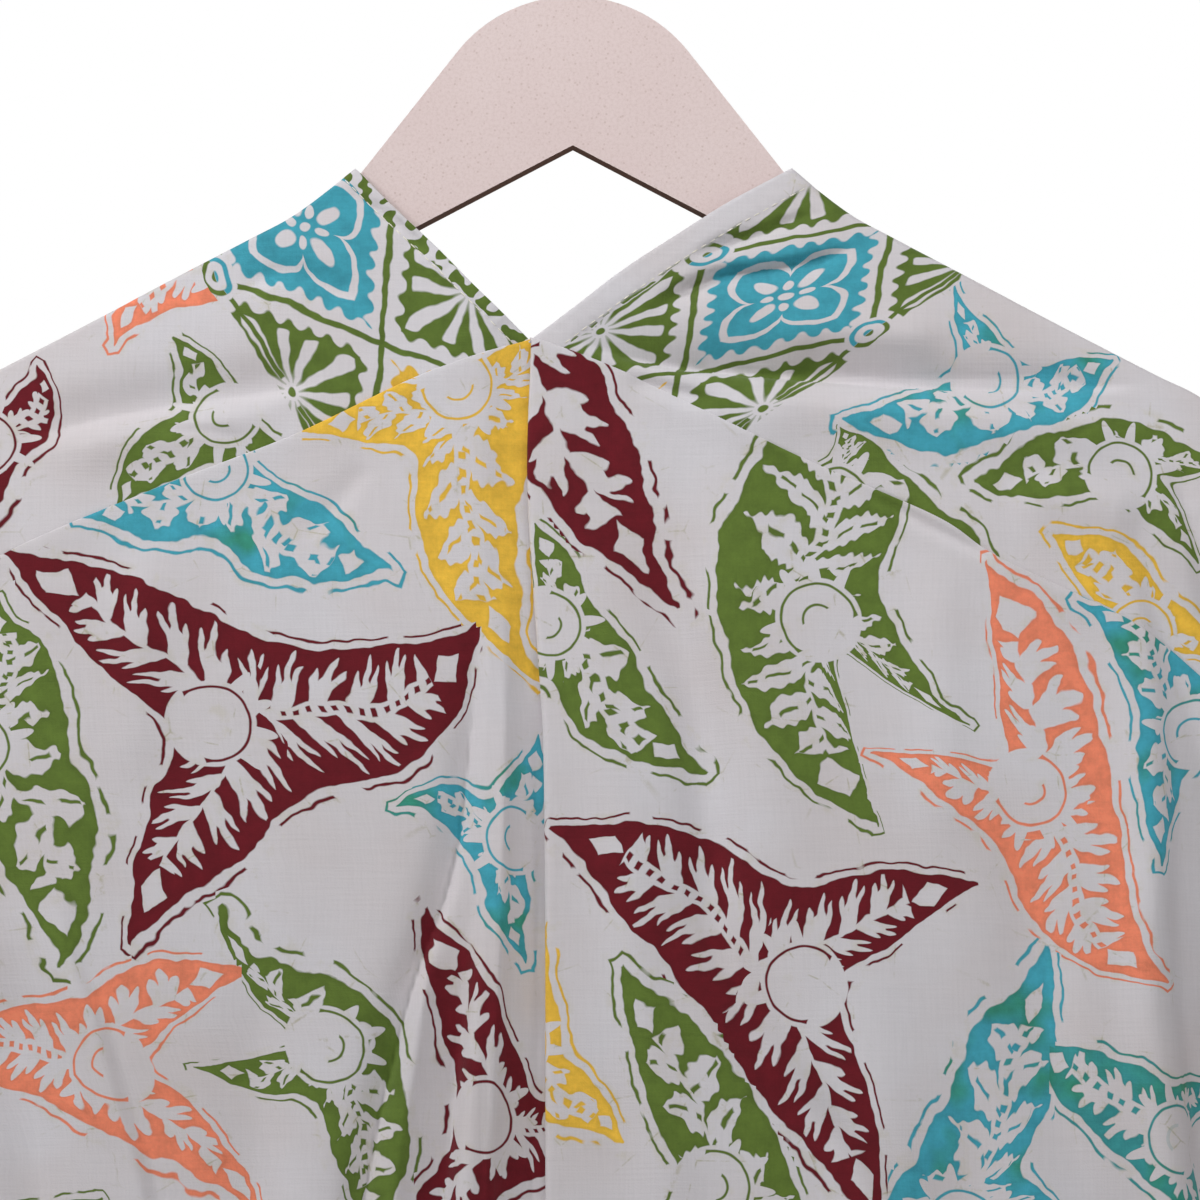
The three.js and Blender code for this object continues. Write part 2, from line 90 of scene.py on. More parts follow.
view = {"target": (0.00966, -0.018, -0.2830), "elevation": -11, "distance": 1.5, "width": 0.4138}
lights = {  # place, size and power of each soft lamp
    "keyLight": ((-1.9, -1.0, 1.0), (0.5, 0.5), 25),
    "topLight": ((0, -0.75, 0.42), (1.6, 0.25), 5.2),
    "fillLight": ((1.6, -1.9, 0.1), (1.6, 1.6), 8.5),
    "rimLight": ((1.1, 1.7, 0.8), (1.0, 1.0), 18),
}
lightAim = Vector((0, 0, -0.35))
sky = {"light": 0.14, "seen": 1.0}
floor = {"height": -1.45, "halfSize": 3, "colour": "#EDEBE8", "glow": 0.75, "glowShare": 0.6}

tilt = math.radians(view["elevation"])
camera = newObject("camera", bpy.data.cameras.new("camera"))
camera.data.angle = 2 * math.atan(view["width"] / 2 / view["distance"])
away = Vector((0, -math.cos(tilt), math.sin(tilt)))
camera.location = Vector(view["target"]) + away * view["distance"]
camera.rotation_euler = away.to_track_quat("Z", "Y").to_euler()
bpy.context.scene.camera = camera
bpy.context.scene.view_settings.view_transform = "Standard"

for name, (place, size, power) in lights.items():
    lamp = newObject(name, bpy.data.lights.new(name, "AREA"))
    lamp.data.shape = "ELLIPSE"
    lamp.data.size, lamp.data.size_y = size
    lamp.data.energy = power
    lamp.location = place
    lamp.rotation_euler = (lightAim - Vector(place)).to_track_quat("-Z", "Y").to_euler()

studio = bpy.data.worlds.new("studio")
studio.use_nodes = True
studioTree = studio.node_tree
studioTree.nodes.clear()
soft = add(studioTree, "Background", [(1, 1, 1, 1), sky["light"]])
seen = add(studioTree, "Background", [(1, 1, 1, 1), sky["seen"]])
add(studioTree, "OutputWorld", [add(studioTree, "MixShader", [add(studioTree, "LightPath"), soft, seen])])
bpy.context.scene.world = studio

bm = bmesh.new()
bmesh.ops.create_grid(bm, x_segments=4, y_segments=4, size=floor["halfSize"])
bmesh.ops.translate(bm, verts=bm.verts, vec=(0, 0, floor["height"]))
floorPiece = newObject("floor", meshFrom(bm, "floor"))
floorPaint, floorTree = newPaint("paleStudioFloor")
floorColour = toLinear(floor["colour"])
lit = add(floorTree, "BsdfPrincipled", {"Base Color": floorColour, "Roughness": 0.8})
pale = add(floorTree, "Emission", {"Color": floorColour, "Strength": floor["glow"]})
glowing = add(floorTree, "Math", [add(floorTree, "LightPath"), floor["glowShare"]], operation="MULTIPLY")
add(floorTree, "OutputMaterial", [add(floorTree, "MixShader", [glowing, lit, pale])])
floorPiece.data.materials.append(floorPaint)
print("camera, light and floor placed")

# the drape, as the maker hangs it: plain x grows to the right, z is height

cloth = {
    "thickness": 0.6,
    "seamGap": 0.4,
    "wall": 1.2,
    "bend": 2.4,
    "shoulderHalf": 5.9,
    "onBoard": 4.05,
    "sideHalf": 3,
    "settle": 40,
    "calm": 15,
}
hem = {"z": -1085, "dip": 50, "halfWidth": 285, "foot": -1100.0}
neck = {"frontZ": -190, "backZ": -300, "rise": 3.5}
pleat = {"underlay": 24, "closedGap": 0.4, "openGap": 1.6, "stitchedTo": -240, "freeFrom": -310,
         "measuredAt": -489.0, "sinkWidth": 18, "sinkRoom": 0.6, "calmFrom": 2, "calmTo": 12}

shoulderRows = np.array([
    (78, -124.5), (88, -133), (100, -142.2), (114, -150), (135, -161.4), (170, -180.6),
    (205, -199.4), (219, -206.5), (234, -218), (248, -237), (260, -262), (269, -290)], float)
sideRows = np.array([
    (-290, 269), (-392, 268), (-500, 262), (-590, 246), (-700, 243), (-850, 253),
    (-1000, 268), (-1140, 285)], float)
armpitZ = -500
seamRows = {
    "frontRight": np.array([
        (-14.5, -190), (19, -203), (72, -230), (125, -254), (149, -270), (194, -292), (216, -309),
        (231, -325), (245, -346), (257, -370), (268, -396)], float),
    "frontLeft": np.array([
        (14.5, -190), (53, -203.5), (97, -225), (146, -245), (198, -268), (217, -280), (233, -295),
        (247, -316), (259, -341), (268.5, -366)], float),
    "back": np.array([
        (40.5, -209.3), (97, -233), (146, -256), (198, -281), (218, -293), (234, -309),
        (248, -330), (259, -354), (268.3, -378)], float),
}
bellyRows = np.array([(-110, 4), (-190, 8), (-300, 12), (-480, 18), (-800, 26), (-1140, 33)], float)
centreRows = np.array([
    (-190, -14.5), (-240, -15.7), (-290, -12.7), (-336, -9.8), (-489, -8.7), (-1140, -6)], float)
tuckRows = np.array([  # height, place, depth of the tuck beside the right sleeve
    (-250, 193, 0), (-268, 195, 1.5), (-318, 204, 6), (-408, 205, 12), (-482, 210.5, 14),
    (-700, 216, 10), (-900, 221, 3), (-1000, 222, 0)], float)
folds = {  # place and height of the top, place at the hem, depth, width at the top and at the hem
    "frontRight": [
        (112, -330, 48, 7, 11, 24), (140, -380, 98, -8, 12, 22), (168, -400, 150, 8, 13, 24),
        (190, -440, 200, -7, 11, 22), (236, -330, 244, 6, 10, 20), (44, -520, 24, -5, 12, 14)],
    "frontLeft": [
        (19, -262, 38, -5, 5, 12), (21, -262, 74, 9, 6, 18), (24, -268, 112, -8, 8, 18),
        (70, -400, 152, 9, 14, 22), (120, -430, 194, -8, 14, 22), (236, -320, 238, 7, 10, 20)],
    "backRight": [
        (20, -330, 34, 8, 12, 22), (70, -300, 82, -8, 14, 22), (112, -340, 132, 9, 14, 24),
        (160, -360, 184, -8, 14, 22), (206, -380, 230, 8, 12, 20)],
    "backLeft": [
        (36, -330, 22, -6, 12, 20), (84, -310, 70, 9, 14, 24), (128, -330, 122, -8, 14, 22),
        (172, -360, 176, 9, 14, 24), (214, -380, 226, -6, 12, 20)],
}

# creases, listed one by one: face, points in plain x and z, width on the left of its way and on the right,
# depth
creases = [
    ("front", [(26, -180), (36, -171), (51, -164), (67, -161.5), (88, -157), (106, -151)], 1.2, 6.5, -5.0),
    ("front", [(42, -158), (52, -153), (66, -148), (80, -142.5), (93, -139)], 1.2, 4.0, -3.2),
    ("front", [(-2, -188), (16, -194), (37, -198), (79, -201.5), (125, -204.5), (165, -205), (214, -203)],
     10, 1.8, -9.0),
    ("front", [(36, -212), (97, -215), (150, -219), (204, -222)], 6, 12, 3.4),
    ("front", [(66, -186), (95, -185), (135, -188)], 8, 7, 2.6),
    ("front", [(18, -203), (30, -206), (52, -212)], 2.5, 4, -2.0),
    ("front", [(150, -250), (172, -246), (200, -252)], 8, 12, 2.4),
    ("front", [(100, -243), (125, -257), (148, -269)], 2.5, 2.5, -2.0),
    ("front", [(-196, -224), (-170, -217), (-142, -211), (-110, -206.5), (-84, -201)], 11, 4, -4.6),
    ("front", [(-186, -232), (-140, -222), (-100, -216)], 5, 9, 2.4),
    ("front", [(-120, -170), (-104, -163), (-90, -166), (-74, -176)], 5, 4, -2.6),
    ("front", [(-92, -128), (-80, -133), (-67, -141), (-57, -150), (-48, -160)], 1.6, 3.2, -2.4),
    ("front", [(-150, -222), (-128, -222), (-112, -226)], 2.4, 2.4, -1.0),
    ("front", [(10, -218), (14, -240), (28, -272), (42, -314), (47, -361), (50, -398), (68, -445), (96, -483),
               (130, -560), (150, -680)], 9, 10, -5.4),
    ("front", [(48, -212), (52, -250), (56, -290), (62, -330), (78, -380), (98, -425), (112, -469),
               (130, -560)], 22, 10, 2.6),
    ("front", [(4, -290), (10, -330), (18, -370), (24, -430), (32, -483), (40, -600)], 10, 9, 2.4),
    ("front", [(140, -330), (158, -398), (162, -445), (170, -478), (190, -540), (200, -660)], 9, 15, -4.6),
    ("front", [(178, -290), (192, -318), (198, -360), (195, -417), (200, -470), (210, -560)], 8, 9, 3.6),
    ("front", [(124, -262), (128, -320), (124, -380)], 9, 9, 1.6),
    ("front", [(208, -230), (218, -262), (222, -300)], 4, 4, -2.2),
    ("front", [(-212, -235), (-222, -268), (-224, -310)], 5, 5, -2.4),
    ("front", [(-176, -380), (-170, -408), (-162, -428), (-154, -455), (-145, -483), (-130, -560)], 3, 9, 3.2),
    ("front", [(-196, -400), (-188, -440), (-180, -478), (-172, -560)], 8, 12, -4.6),
    ("front", [(-146, -262), (-150, -310), (-146, -350)], 9, 9, 1.6),
    ("front", [(-104, -400), (-108, -440), (-106, -483), (-112, -600)], 9, 14, -3.0),
    ("front", [(-24, -262), (-31, -291), (-35, -333), (-41, -375), (-57, -427), (-69, -483), (-84, -600),
               (-92, -720)], 2.4, 6.0, -6.2),
    ("front", [(-30, -345), (-31, -370), (-34, -400), (-37, -427), (-42, -483), (-50, -600), (-56, -720)],
     2.2, 5.0, -5.0),
    ("front", [(-24, -262), (-23, -300), (-23, -340), (-24, -398), (-26, -450), (-29, -520), (-34, -640)],
     3.0, 1.8, 2.6),
    ("front", [(-44, -372), (-48, -400), (-52, -440), (-58, -483), (-68, -600)], 2.2, 3.4, 2.4),
    ("front", [(-14, -300), (-14, -340), (-13, -398), (-14, -483), (-16, -600)], 2.0, 3.4, -1.8),
    ("front", [(-70, -232), (-82, -248), (-96, -262)], 4, 6, -1.2),
    ("back", [(48, -166), (80, -160), (118, -158)], 2.0, 5.0, -3.6),
    ("back", [(40, -200), (90, -196), (150, -204), (196, -212)], 11, 5, -5.6),
    ("back", [(-160, -196), (-110, -176), (-60, -172)], 9, 4, -4.6),
    ("back", [(-84, -136), (-66, -150), (-56, -176)], 2.6, 2.6, -2.4),
    ("back", [(60, -300), (54, -380), (66, -480), (72, -620), (80, -800)], 7, 12, -4.0),
    ("back", [(-30, -330), (-44, -420), (-40, -540), (-48, -700)], 7, 8, 3.4),
    ("back", [(150, -330), (158, -400), (150, -500), (156, -640)], 3, 7, -3.6),
    ("back", [(-150, -310), (-160, -380), (-170, -470), (-178, -600)], 7, 3, -3.8),
    ("back", [(8, -330), (14, -420), (4, -540), (10, -700)], 3, 6, -3.4),
    ("back", [(-96, -300), (-104, -390), (-98, -500), (-110, -660)], 8, 9, 3.2),
]
ripples = np.random.default_rng(7).uniform(-1, 1, (12, 3))  # direction and phase of slight unevenness


def smooth(x, low, high):
    t = np.clip((x - low) / (high - low), 0, 1)
    return t * t * (3 - 2 * t)


def readRows(rows, column, at):
    # a smooth curve through one column of a table, read at a value of its first column
    keys, values = rows[:, 0], rows[:, column]
    last = len(keys) - 1
    down = -1 if keys[-1] < keys[0] else 1
    i = np.clip(np.searchsorted(down * keys, down * np.asarray(at, float)) - 1, 0, last - 1)
    width = keys[i + 1] - keys[i]
    t = np.clip((at - keys[i]) / width, 0, 1)
    k = np.arange(last + 1)
    before, after = np.maximum(k - 1, 0), np.minimum(k + 1, last)
    slope = (values[after] - values[before]) / (keys[after] - keys[before])
    return ((2 * t**3 - 3 * t**2 + 1) * values[i] + (t**3 - 2 * t**2 + t) * slope[i] * width
            + (3 * t**2 - 2 * t**3) * values[i + 1] + (t**3 - t**2) * slope[i + 1] * width)


def curveThrough(rows, steps=60):
    # dense points of a smooth curve through the rows, and the length up to each
    last = len(rows) - 1
    t = np.linspace(0, last, last * steps + 1)
    i = np.minimum(t.astype(int), last - 1)
    w = (t - i)[:, None]
    p0, p1 = rows[np.maximum(i - 1, 0)], rows[i]
    p2, p3 = rows[i + 1], rows[np.minimum(i + 2, last)]
    p0 = np.where((i == 0)[:, None], p1, p0)
    m1, m2 = (p2 - p0) / 2, (p3 - p1) / 2
    points = (2 * w**3 - 3 * w**2 + 1) * p1 + (w**3 - 2 * w**2 + w) * m1 + (
        3 * w**2 - 2 * w**3) * p2 + (w**3 - w**2) * m2
    run = np.concatenate([[0], np.cumsum(np.hypot(*np.diff(points, axis=0).T))])
    return points, run


def along(curve, share):
    points, run = curve
    return np.interp(share * run[-1], run, points[:, 0]), np.interp(share * run[-1], run, points[:, 1])


shoulderLine = curveThrough(shoulderRows)
seamLines = {name: curveThrough(rows) for name, rows in seamRows.items()}
sideZ = np.linspace(armpitZ, sideRows[-1, 0], 14)
sideLine = np.stack([readRows(sideRows, 1, sideZ), sideZ], axis=1)


def nearLine(points, x, z):
    # distance to a line of points, share of its length there, and which side it lies on
    best = np.full(np.shape(x), 1e9)
    share = np.zeros(np.shape(x))
    hand = np.ones(np.shape(x))
    runs = np.concatenate([[0], np.cumsum(np.hypot(*np.diff(points, axis=0).T))])
    for k in range(len(points) - 1):
        a, d = points[k], points[k + 1] - points[k]
        t = np.clip(((x - a[0]) * d[0] + (z - a[1]) * d[1]) / (d @ d), 0, 1)
        ox, oz = x - a[0] - t * d[0], z - a[1] - t * d[1]
        off = np.hypot(ox, oz)
        closer = off < best
        best = np.where(closer, off, best)
        share = np.where(closer, (runs[k] + t * (runs[k + 1] - runs[k])) / runs[-1], share)
        hand = np.where(closer, np.sign(d[0] * oz - d[1] * ox), hand)
    return best, share, hand


def centreX(z):
    return readRows(centreRows, 1, z)


def sideX(z):
    return readRows(sideRows, 1, z)


def hemZ(x):
    return hem["z"] - hem["dip"] * (x / hem["halfWidth"]) ** 2


def foldDepth(z):
    gap = pleat["openGap"] + (pleat["closedGap"] - pleat["openGap"]) * smooth(
        z, pleat["freeFrom"], pleat["stitchedTo"])
    return 2 * cloth["wall"] + gap


def foldHeight(fold, x, z):
    topX, topZ, hemX, depth, topWidth, hemWidth = fold
    t = (topZ - z) / (topZ - hem["z"])
    middle = topX + (hemX - topX) * t
    width = np.maximum(topWidth + (hemWidth - topWidth) * t, 1)
    strength = smooth(t, 0, 0.3) * (0.45 + 0.55 * t)
    return np.where(t > 0, depth * strength * np.exp(-(((x - middle) / width) ** 2)), 0)


def fineRelief(face, plainX, z):
    # the creases, and the slight unevenness of hanging cotton
    total = np.zeros(np.shape(plainX))
    for on, points, leftWidth, rightWidth, depth in creases:
        if on != face:
            continue
        points = np.array(points, float)
        off, share, hand = nearLine(curveThrough(points, 6)[0], plainX, z)
        fade = smooth(share, -0.02, 0.25) * smooth(1 - share, -0.02, 0.25)
        keen = 1.3 if min(leftWidth, rightWidth) < 2.5 else 2
        total += fade * depth * np.exp(-((off / np.where(hand > 0, leftWidth, rightWidth)) ** keen))
    flip = 1 if face == "front" else -1
    for k, (p, q, r) in enumerate(ripples):
        wave = (34 + 8 * k) / (2 * math.pi)
        way = p * plainX * flip * 1.3 + q * z * 0.6
        total += 0.16 * (0.6 + 0.08 * k) * np.sin(way / wave + 6 * r + flip)
    return total


def faceDepth(face, side, x, z):
    # how far a face lies from the middle plane, x from the centre on one side
    shoulder = nearLine(shoulderLine[0][::15], x, z)[0]
    seam = nearLine(sideLine, x, z)[0]
    inward = np.minimum(shoulder, seam)
    upper = smooth(z, armpitZ - 10, shoulderRows[-1, 1])
    half = cloth["sideHalf"] + (cloth["shoulderHalf"] - cloth["sideHalf"]) * upper
    turned = np.maximum(cloth["bend"] - inward, 0)
    flat = half - cloth["bend"] + np.sqrt(np.maximum(cloth["bend"] ** 2 - turned**2, 0))
    parted = 1 - np.exp(-np.maximum(inward - cloth["bend"], 0) / cloth["settle"])
    depth = flat + readRows(bellyRows, 1, z) * parted
    rightFolds = sum(foldHeight(f, np.abs(x), z) for f in folds[face + "Right"])
    leftFolds = sum(foldHeight(f, np.abs(x), z) for f in folds[face + "Left"])
    toRight = side * x > centreX(z) if face == "front" else np.full(np.shape(x), side > 0)
    relief = np.where(toRight, rightFolds, leftFolds)
    if face == "front":
        relief = relief * smooth(np.abs(side * x - centreX(z)), pleat["calmFrom"], pleat["calmTo"])
        beside = (1 + np.tanh((x - readRows(tuckRows, 1, z)) / 3)) / 2
        inTuck = (z < tuckRows[0, 0]) & (z > tuckRows[-1, 0])
        relief = relief - np.where(inTuck, readRows(tuckRows, 2, z) * beside, 0)
    relief = relief + fineRelief(face, side * x, z)
    depth = depth + relief * (1 - np.exp(-((inward / cloth["calm"]) ** 2)))
    if face == "front" and side < 0:
        under = 1 - smooth(centreX(z) + x, 1, pleat["sinkWidth"])
        above = 1 - smooth(z, neck["frontZ"] + 4, neck["frontZ"] + 24)
        depth = depth - (foldDepth(z) + pleat["sinkRoom"]) * under * above
    return np.maximum(depth, cloth["seamGap"] / 2)


def facePoints(face, side, x, z):
    return np.stack([side * x, (-1 if face == "front" else 1) * faceDepth(face, side, x, z), z], axis=-1)


# cloth panels

panel = {"across": 146, "down": 284, "backAcross": 190, "backDown": 230, "yokeAlong": 165, "yokeDown": 225,
         "spacing": 1.02, "lapRise": 0.9, "lapWidth": 9, "lapOver": 1.2, "underSeam": 5, "roll": 0.6,
         "hemWidth": 14, "hemRise": 0.4}
neckHem = {"right": 9.3, "left": 5.2, "rise": 0.5, "pucker": 0.13, "puckerPitch": 6.5, "groove": 0.25}
topTurns = (2.6, 1.9, 1.2, 0.6)  # angles by which an edge turns under, from its end inward
sideTurns = (0.7, 1.4, 2.1)


def clothMesh(name, points, u, v, extra=None):
    # a grid of points, rows of columns, becomes a sheet with its cloth coordinates in millimetres
    rows, columns = points.shape[0] - 1, points.shape[1] - 1
    bm = bmesh.new()
    bmesh.ops.create_grid(bm, x_segments=columns, y_segments=rows, size=0.5)
    mesh = meshFrom(bm, name)
    flat = np.empty(len(mesh.vertices) * 3)
    mesh.vertices.foreach_get("co", flat)
    flat = flat.reshape(-1, 3)
    column = np.rint((flat[:, 0] + 0.5) * columns).astype(int)
    row = np.rint((0.5 - flat[:, 1]) * rows).astype(int)
    mesh.vertices.foreach_set("co", (points[row, column] * mm).ravel())
    corners = np.empty(len(mesh.loops), int)
    mesh.loops.foreach_get("vertex_index", corners)
    for layer, pair in {"cloth": (u, v), **(extra or {})}.items():
        both = np.stack([pair[0][row, column][corners], pair[1][row, column][corners]], axis=1)
        mesh.uv_layers.new(name=layer).data.foreach_set("uv", both.ravel())
    shadeSmooth(mesh)
    mesh.update()
    return newObject(name, mesh)


def finishCloth(piece, outward, node):
    # faces look outward, to the front or the back or (with 0) each to its own side, and the sheet gets
    # its thickness inward
    mesh = piece.data
    normals, centres = np.empty(len(mesh.polygons) * 3), np.empty(len(mesh.polygons) * 3)
    mesh.polygons.foreach_get("normal", normals)
    mesh.polygons.foreach_get("center", centres)
    away = outward or np.sign(centres.reshape(-1, 3)[:, 1])
    if (normals.reshape(-1, 3)[:, 1] * away).sum() < 0:
        mesh.flip_normals()
    shell = piece.modifiers.new("thickness", "SOLIDIFY")
    shell.thickness = cloth["thickness"] * mm
    shell.offset = -1
    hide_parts(node)
    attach(piece, "root")
    return piece


def rowHeights(topZ, lowZ, rows):
    # close rows in the upper part that hangs in view, wider ones further down
    r = np.linspace(0, 1, rows + 1)
    return topZ + (lowZ - topZ) * (0.52 * r + 0.48 * r**2.2)[:, None]


def seamHeight(name, x):
    points, _ = seamLines[name]
    return np.interp(x, points[:, 0], points[:, 1]) + panel["lapOver"]


def columnTops(edge, root, shares, guess):
    # each column starts where its own place meets the panel's top edge
    topZ = np.full(len(shares), guess)
    for _ in range(14):
        topZ = edge(root(topZ) + shares * (sideX(topZ) - root(topZ)))
    return topZ


def hangGrid(root, shares, rows, topZ):
    # columns hang from the top edge to the hem, each at a fixed share of the way to the side
    foot = np.full(len(shares), hem["foot"])
    z = rowHeights(topZ, hemZ(np.abs(root(foot) + shares * (sideX(foot) - root(foot)))), rows)
    return root(z) + shares * (sideX(z) - root(z)), z


def turnUnder(edge, outward, facing, turns):
    # rows of points that turn an edge of the sheet outward and then under itself
    rows = []
    for turn in turns:
        turned = edge + np.array(outward) * (panel["roll"] * math.sin(turn))
        turned[..., 1] -= facing * panel["roll"] * (1 - math.cos(turn))
        rows.append(turned)
    return rows


def finishEdges(points, side, facing):
    # the turned top edge lies over the yoke, the hem at the bottom is a little thicker, and the side edge
    # turns inward, towards the panel behind
    z = points[..., 2]
    toHem = z[-1] - z
    lift = panel["lapRise"] * np.exp(-(((z[0] - z) / panel["lapWidth"]) ** 2))
    lift += panel["hemRise"] * smooth(toHem, -panel["hemWidth"] - 1, -panel["hemWidth"] + 0.5)
    points[..., 1] += facing * lift
    top = turnUnder(points[0], (0, 0, 1), facing, topTurns)
    low = turnUnder(points[-1], (0, 0, -1), facing, topTurns[::-1])
    points = np.concatenate([np.stack(top), points, np.stack(low)])
    lip = turnUnder(points[:, -1], (side * 0.5, 0, 0), facing, sideTurns)
    return np.concatenate([points, np.stack(lip, axis=1)], axis=1)


def runAcross(points, start):
    # width of cloth up to each column, from a column that lies at a known place
    steps = np.hypot(np.diff(points[..., 0], axis=1), np.diff(points[..., 1], axis=1))
    run = np.concatenate([np.zeros((len(points), 1)), np.cumsum(steps, axis=1)], axis=1)
    return run - run[:, start : start + 1]


def makeFrontRight():
    # its centre edge turns round and runs back under itself as the pleat
    def root(z):
        return centreX(z) + foldDepth(z) / 2

    shares = np.linspace(0, 1, panel["across"] + 1) ** panel["spacing"]
    topZ = columnTops(lambda x: seamHeight("frontRight", x), root, shares, -200.0)
    x, z = hangGrid(root, shares, panel["down"], topZ)
    layer = facePoints("front", 1, x, z)
    edgeZ = z[:, :1]
    radius = foldDepth(edgeZ) / 2
    back = []
    for into in np.linspace(pleat["underlay"], 1.0, 12):
        under = facePoints("front", 1, centreX(edgeZ) + into, edgeZ)
        under[..., 1] += foldDepth(edgeZ)
        back.append(under)
    for turn in np.radians([180, 155, 130, 105, 80, 55, 30]):
        aside = np.stack([-radius * math.sin(turn), radius * (1 - math.cos(turn)), 0 * radius], axis=-1)
        back.append(layer[:, :1] + aside)
    points = finishEdges(np.concatenate(back + [layer], axis=1), 1, -1)
    u = runAcross(points, len(back)) + centreX(pleat["measuredAt"])
    return clothMesh("frontBodyRight", points, u, points[..., 2])


def makeFrontLeft():
    # runs under the pleat's fold
    def root(z):
        return -centreX(z) + cloth["seamGap"]

    shares = np.linspace(0, 1, panel["across"] + 1) ** panel["spacing"]
    topZ = columnTops(lambda x: seamHeight("frontLeft", x), root, shares, -200.0)
    x, z = hangGrid(root, shares, panel["down"], topZ)
    edgeZ = z[:, :1] - 1.5
    back = [facePoints("front", -1, -(centreX(edgeZ) + into), edgeZ)
            for into in np.linspace(pleat["underlay"], 1.5, 14)]
    points = finishEdges(np.concatenate(back + [facePoints("front", -1, x, z)], axis=1), -1, -1)
    u = centreX(pleat["measuredAt"]) - runAcross(points, len(back))
    return clothMesh("frontBodyLeft", points, u, points[..., 2])


def makeBack():
    seamX, seamZ = seamRows["back"][0]
    shares = np.linspace(0, 1, panel["backAcross"] // 2 + 1)

    def edge(x):
        notch = neck["backZ"] + (seamZ - neck["backZ"]) / seamX * x
        return np.where(x < seamX, notch, seamHeight("back", x))

    topZ = columnTops(edge, np.zeros_like, shares, -260.0)
    x, z = hangGrid(np.zeros_like, shares, panel["backDown"], topZ)
    left, right = [finishEdges(facePoints("back", side, x, z), side, 1) for side in (-1, 1)]
    points = np.concatenate([left[:, ::-1], right[:, 1:]], axis=1)
    return clothMesh("backBody", points, runAcross(points, left.shape[1] - 1), points[..., 2])


def yokeSurface(side, a, b):
    # a runs from the neck edge to the cuff, b from the front seam over the fold to the back seam
    hand = "Right" if side > 0 else "Left"
    hemWidth = neckHem[hand.lower()]
    topX, topZ = along(shoulderLine, a)
    foldHalf = cloth["shoulderHalf"] - cloth["bend"]
    points = np.zeros(np.shape(a) + (3,))
    width = np.zeros(np.shape(a))
    for face, mask in (("front", b < 0), ("back", b >= 0)):
        seam = seamLines["front" + hand if face == "front" else "back"]
        lowX, lowZ = along(seam, a)
        length = np.hypot(lowX - topX, lowZ - topZ)
        reach = np.abs(b) * (length + foldHalf) - foldHalf  # below zero on the flat top of the fold
        past = np.maximum(reach, 0) / length
        x = topX + (lowX - topX) * past
        z = topZ + (lowZ - topZ) * past
        if face == "front" and side > 0:
            z = z + neck["rise"] * (1 - a) ** 4 * np.sin(math.pi * np.minimum(past, 1))
        depth = faceDepth(face, side, x, z)
        depth = np.where(reach < 0, foldHalf + reach, depth)
        depth = depth - 0.7 * smooth(reach, length - 2.5, length + 1)
        shoulderRun, seamRun = shoulderLine[1][-1], seam[1][-1]
        here = a * (shoulderRun + (seamRun - shoulderRun) * np.clip(past, 0, 1))
        inHem = 1 - smooth(here, hemWidth - 0.2, hemWidth + 1.4)
        down = reach / neckHem["puckerPitch"]
        pucker = np.sin(2 * math.pi * (down + 0.31 * np.sin(1.7 * down) + 0.4 * np.sin(0.53 * down)))
        nearHem = 0.5 * inHem + 0.5 * np.exp(-(((here - hemWidth) / 4) ** 2))
        depth = depth + neckHem["rise"] * inHem + neckHem["pucker"] * pucker * nearHem * (reach > 4)
        depth = depth - neckHem["groove"] * np.exp(-(((here - hemWidth) / 0.9) ** 2))
        # the deepest fold lies on the board
        depth = np.where(reach > 1, np.maximum(depth, cloth["onBoard"]), depth)
        x = x + 0.315 * np.sin(down * 0.9 + side) * (1 - smooth(here, 0, 12))
        y = np.where(reach < -foldHalf + 1e-6, 0, depth) * (-1 if face == "front" else 1)
        points = np.where(mask[..., None], np.stack([side * x, y, z], axis=-1), points)
        width = np.where(mask, here, width)
    return points, width


latticeCells = {  # place of the first tile's middle, and the two ways from tile to tile
    1: {"middle": (75.5, -172), "outward": (66, 14), "down": (-9, -43)},
    -1: {"middle": (-94, -146), "outward": (-58, 25.5), "down": (-4.4, -62)},
}
shoulderSlope = math.radians(28.5)
leftStripFrom = 100  # the left yoke's strip is counted from here, so that one material tells the two apart


def latticePlace(side, u, v):
    cell = latticeCells[side]
    basis = np.linalg.inv(np.array([cell["outward"], cell["down"]], float).T)
    du, dv = u - cell["middle"][0], v - cell["middle"][1]
    return basis[0, 0] * du + basis[0, 1] * dv, basis[1, 0] * du + basis[1, 1] * dv


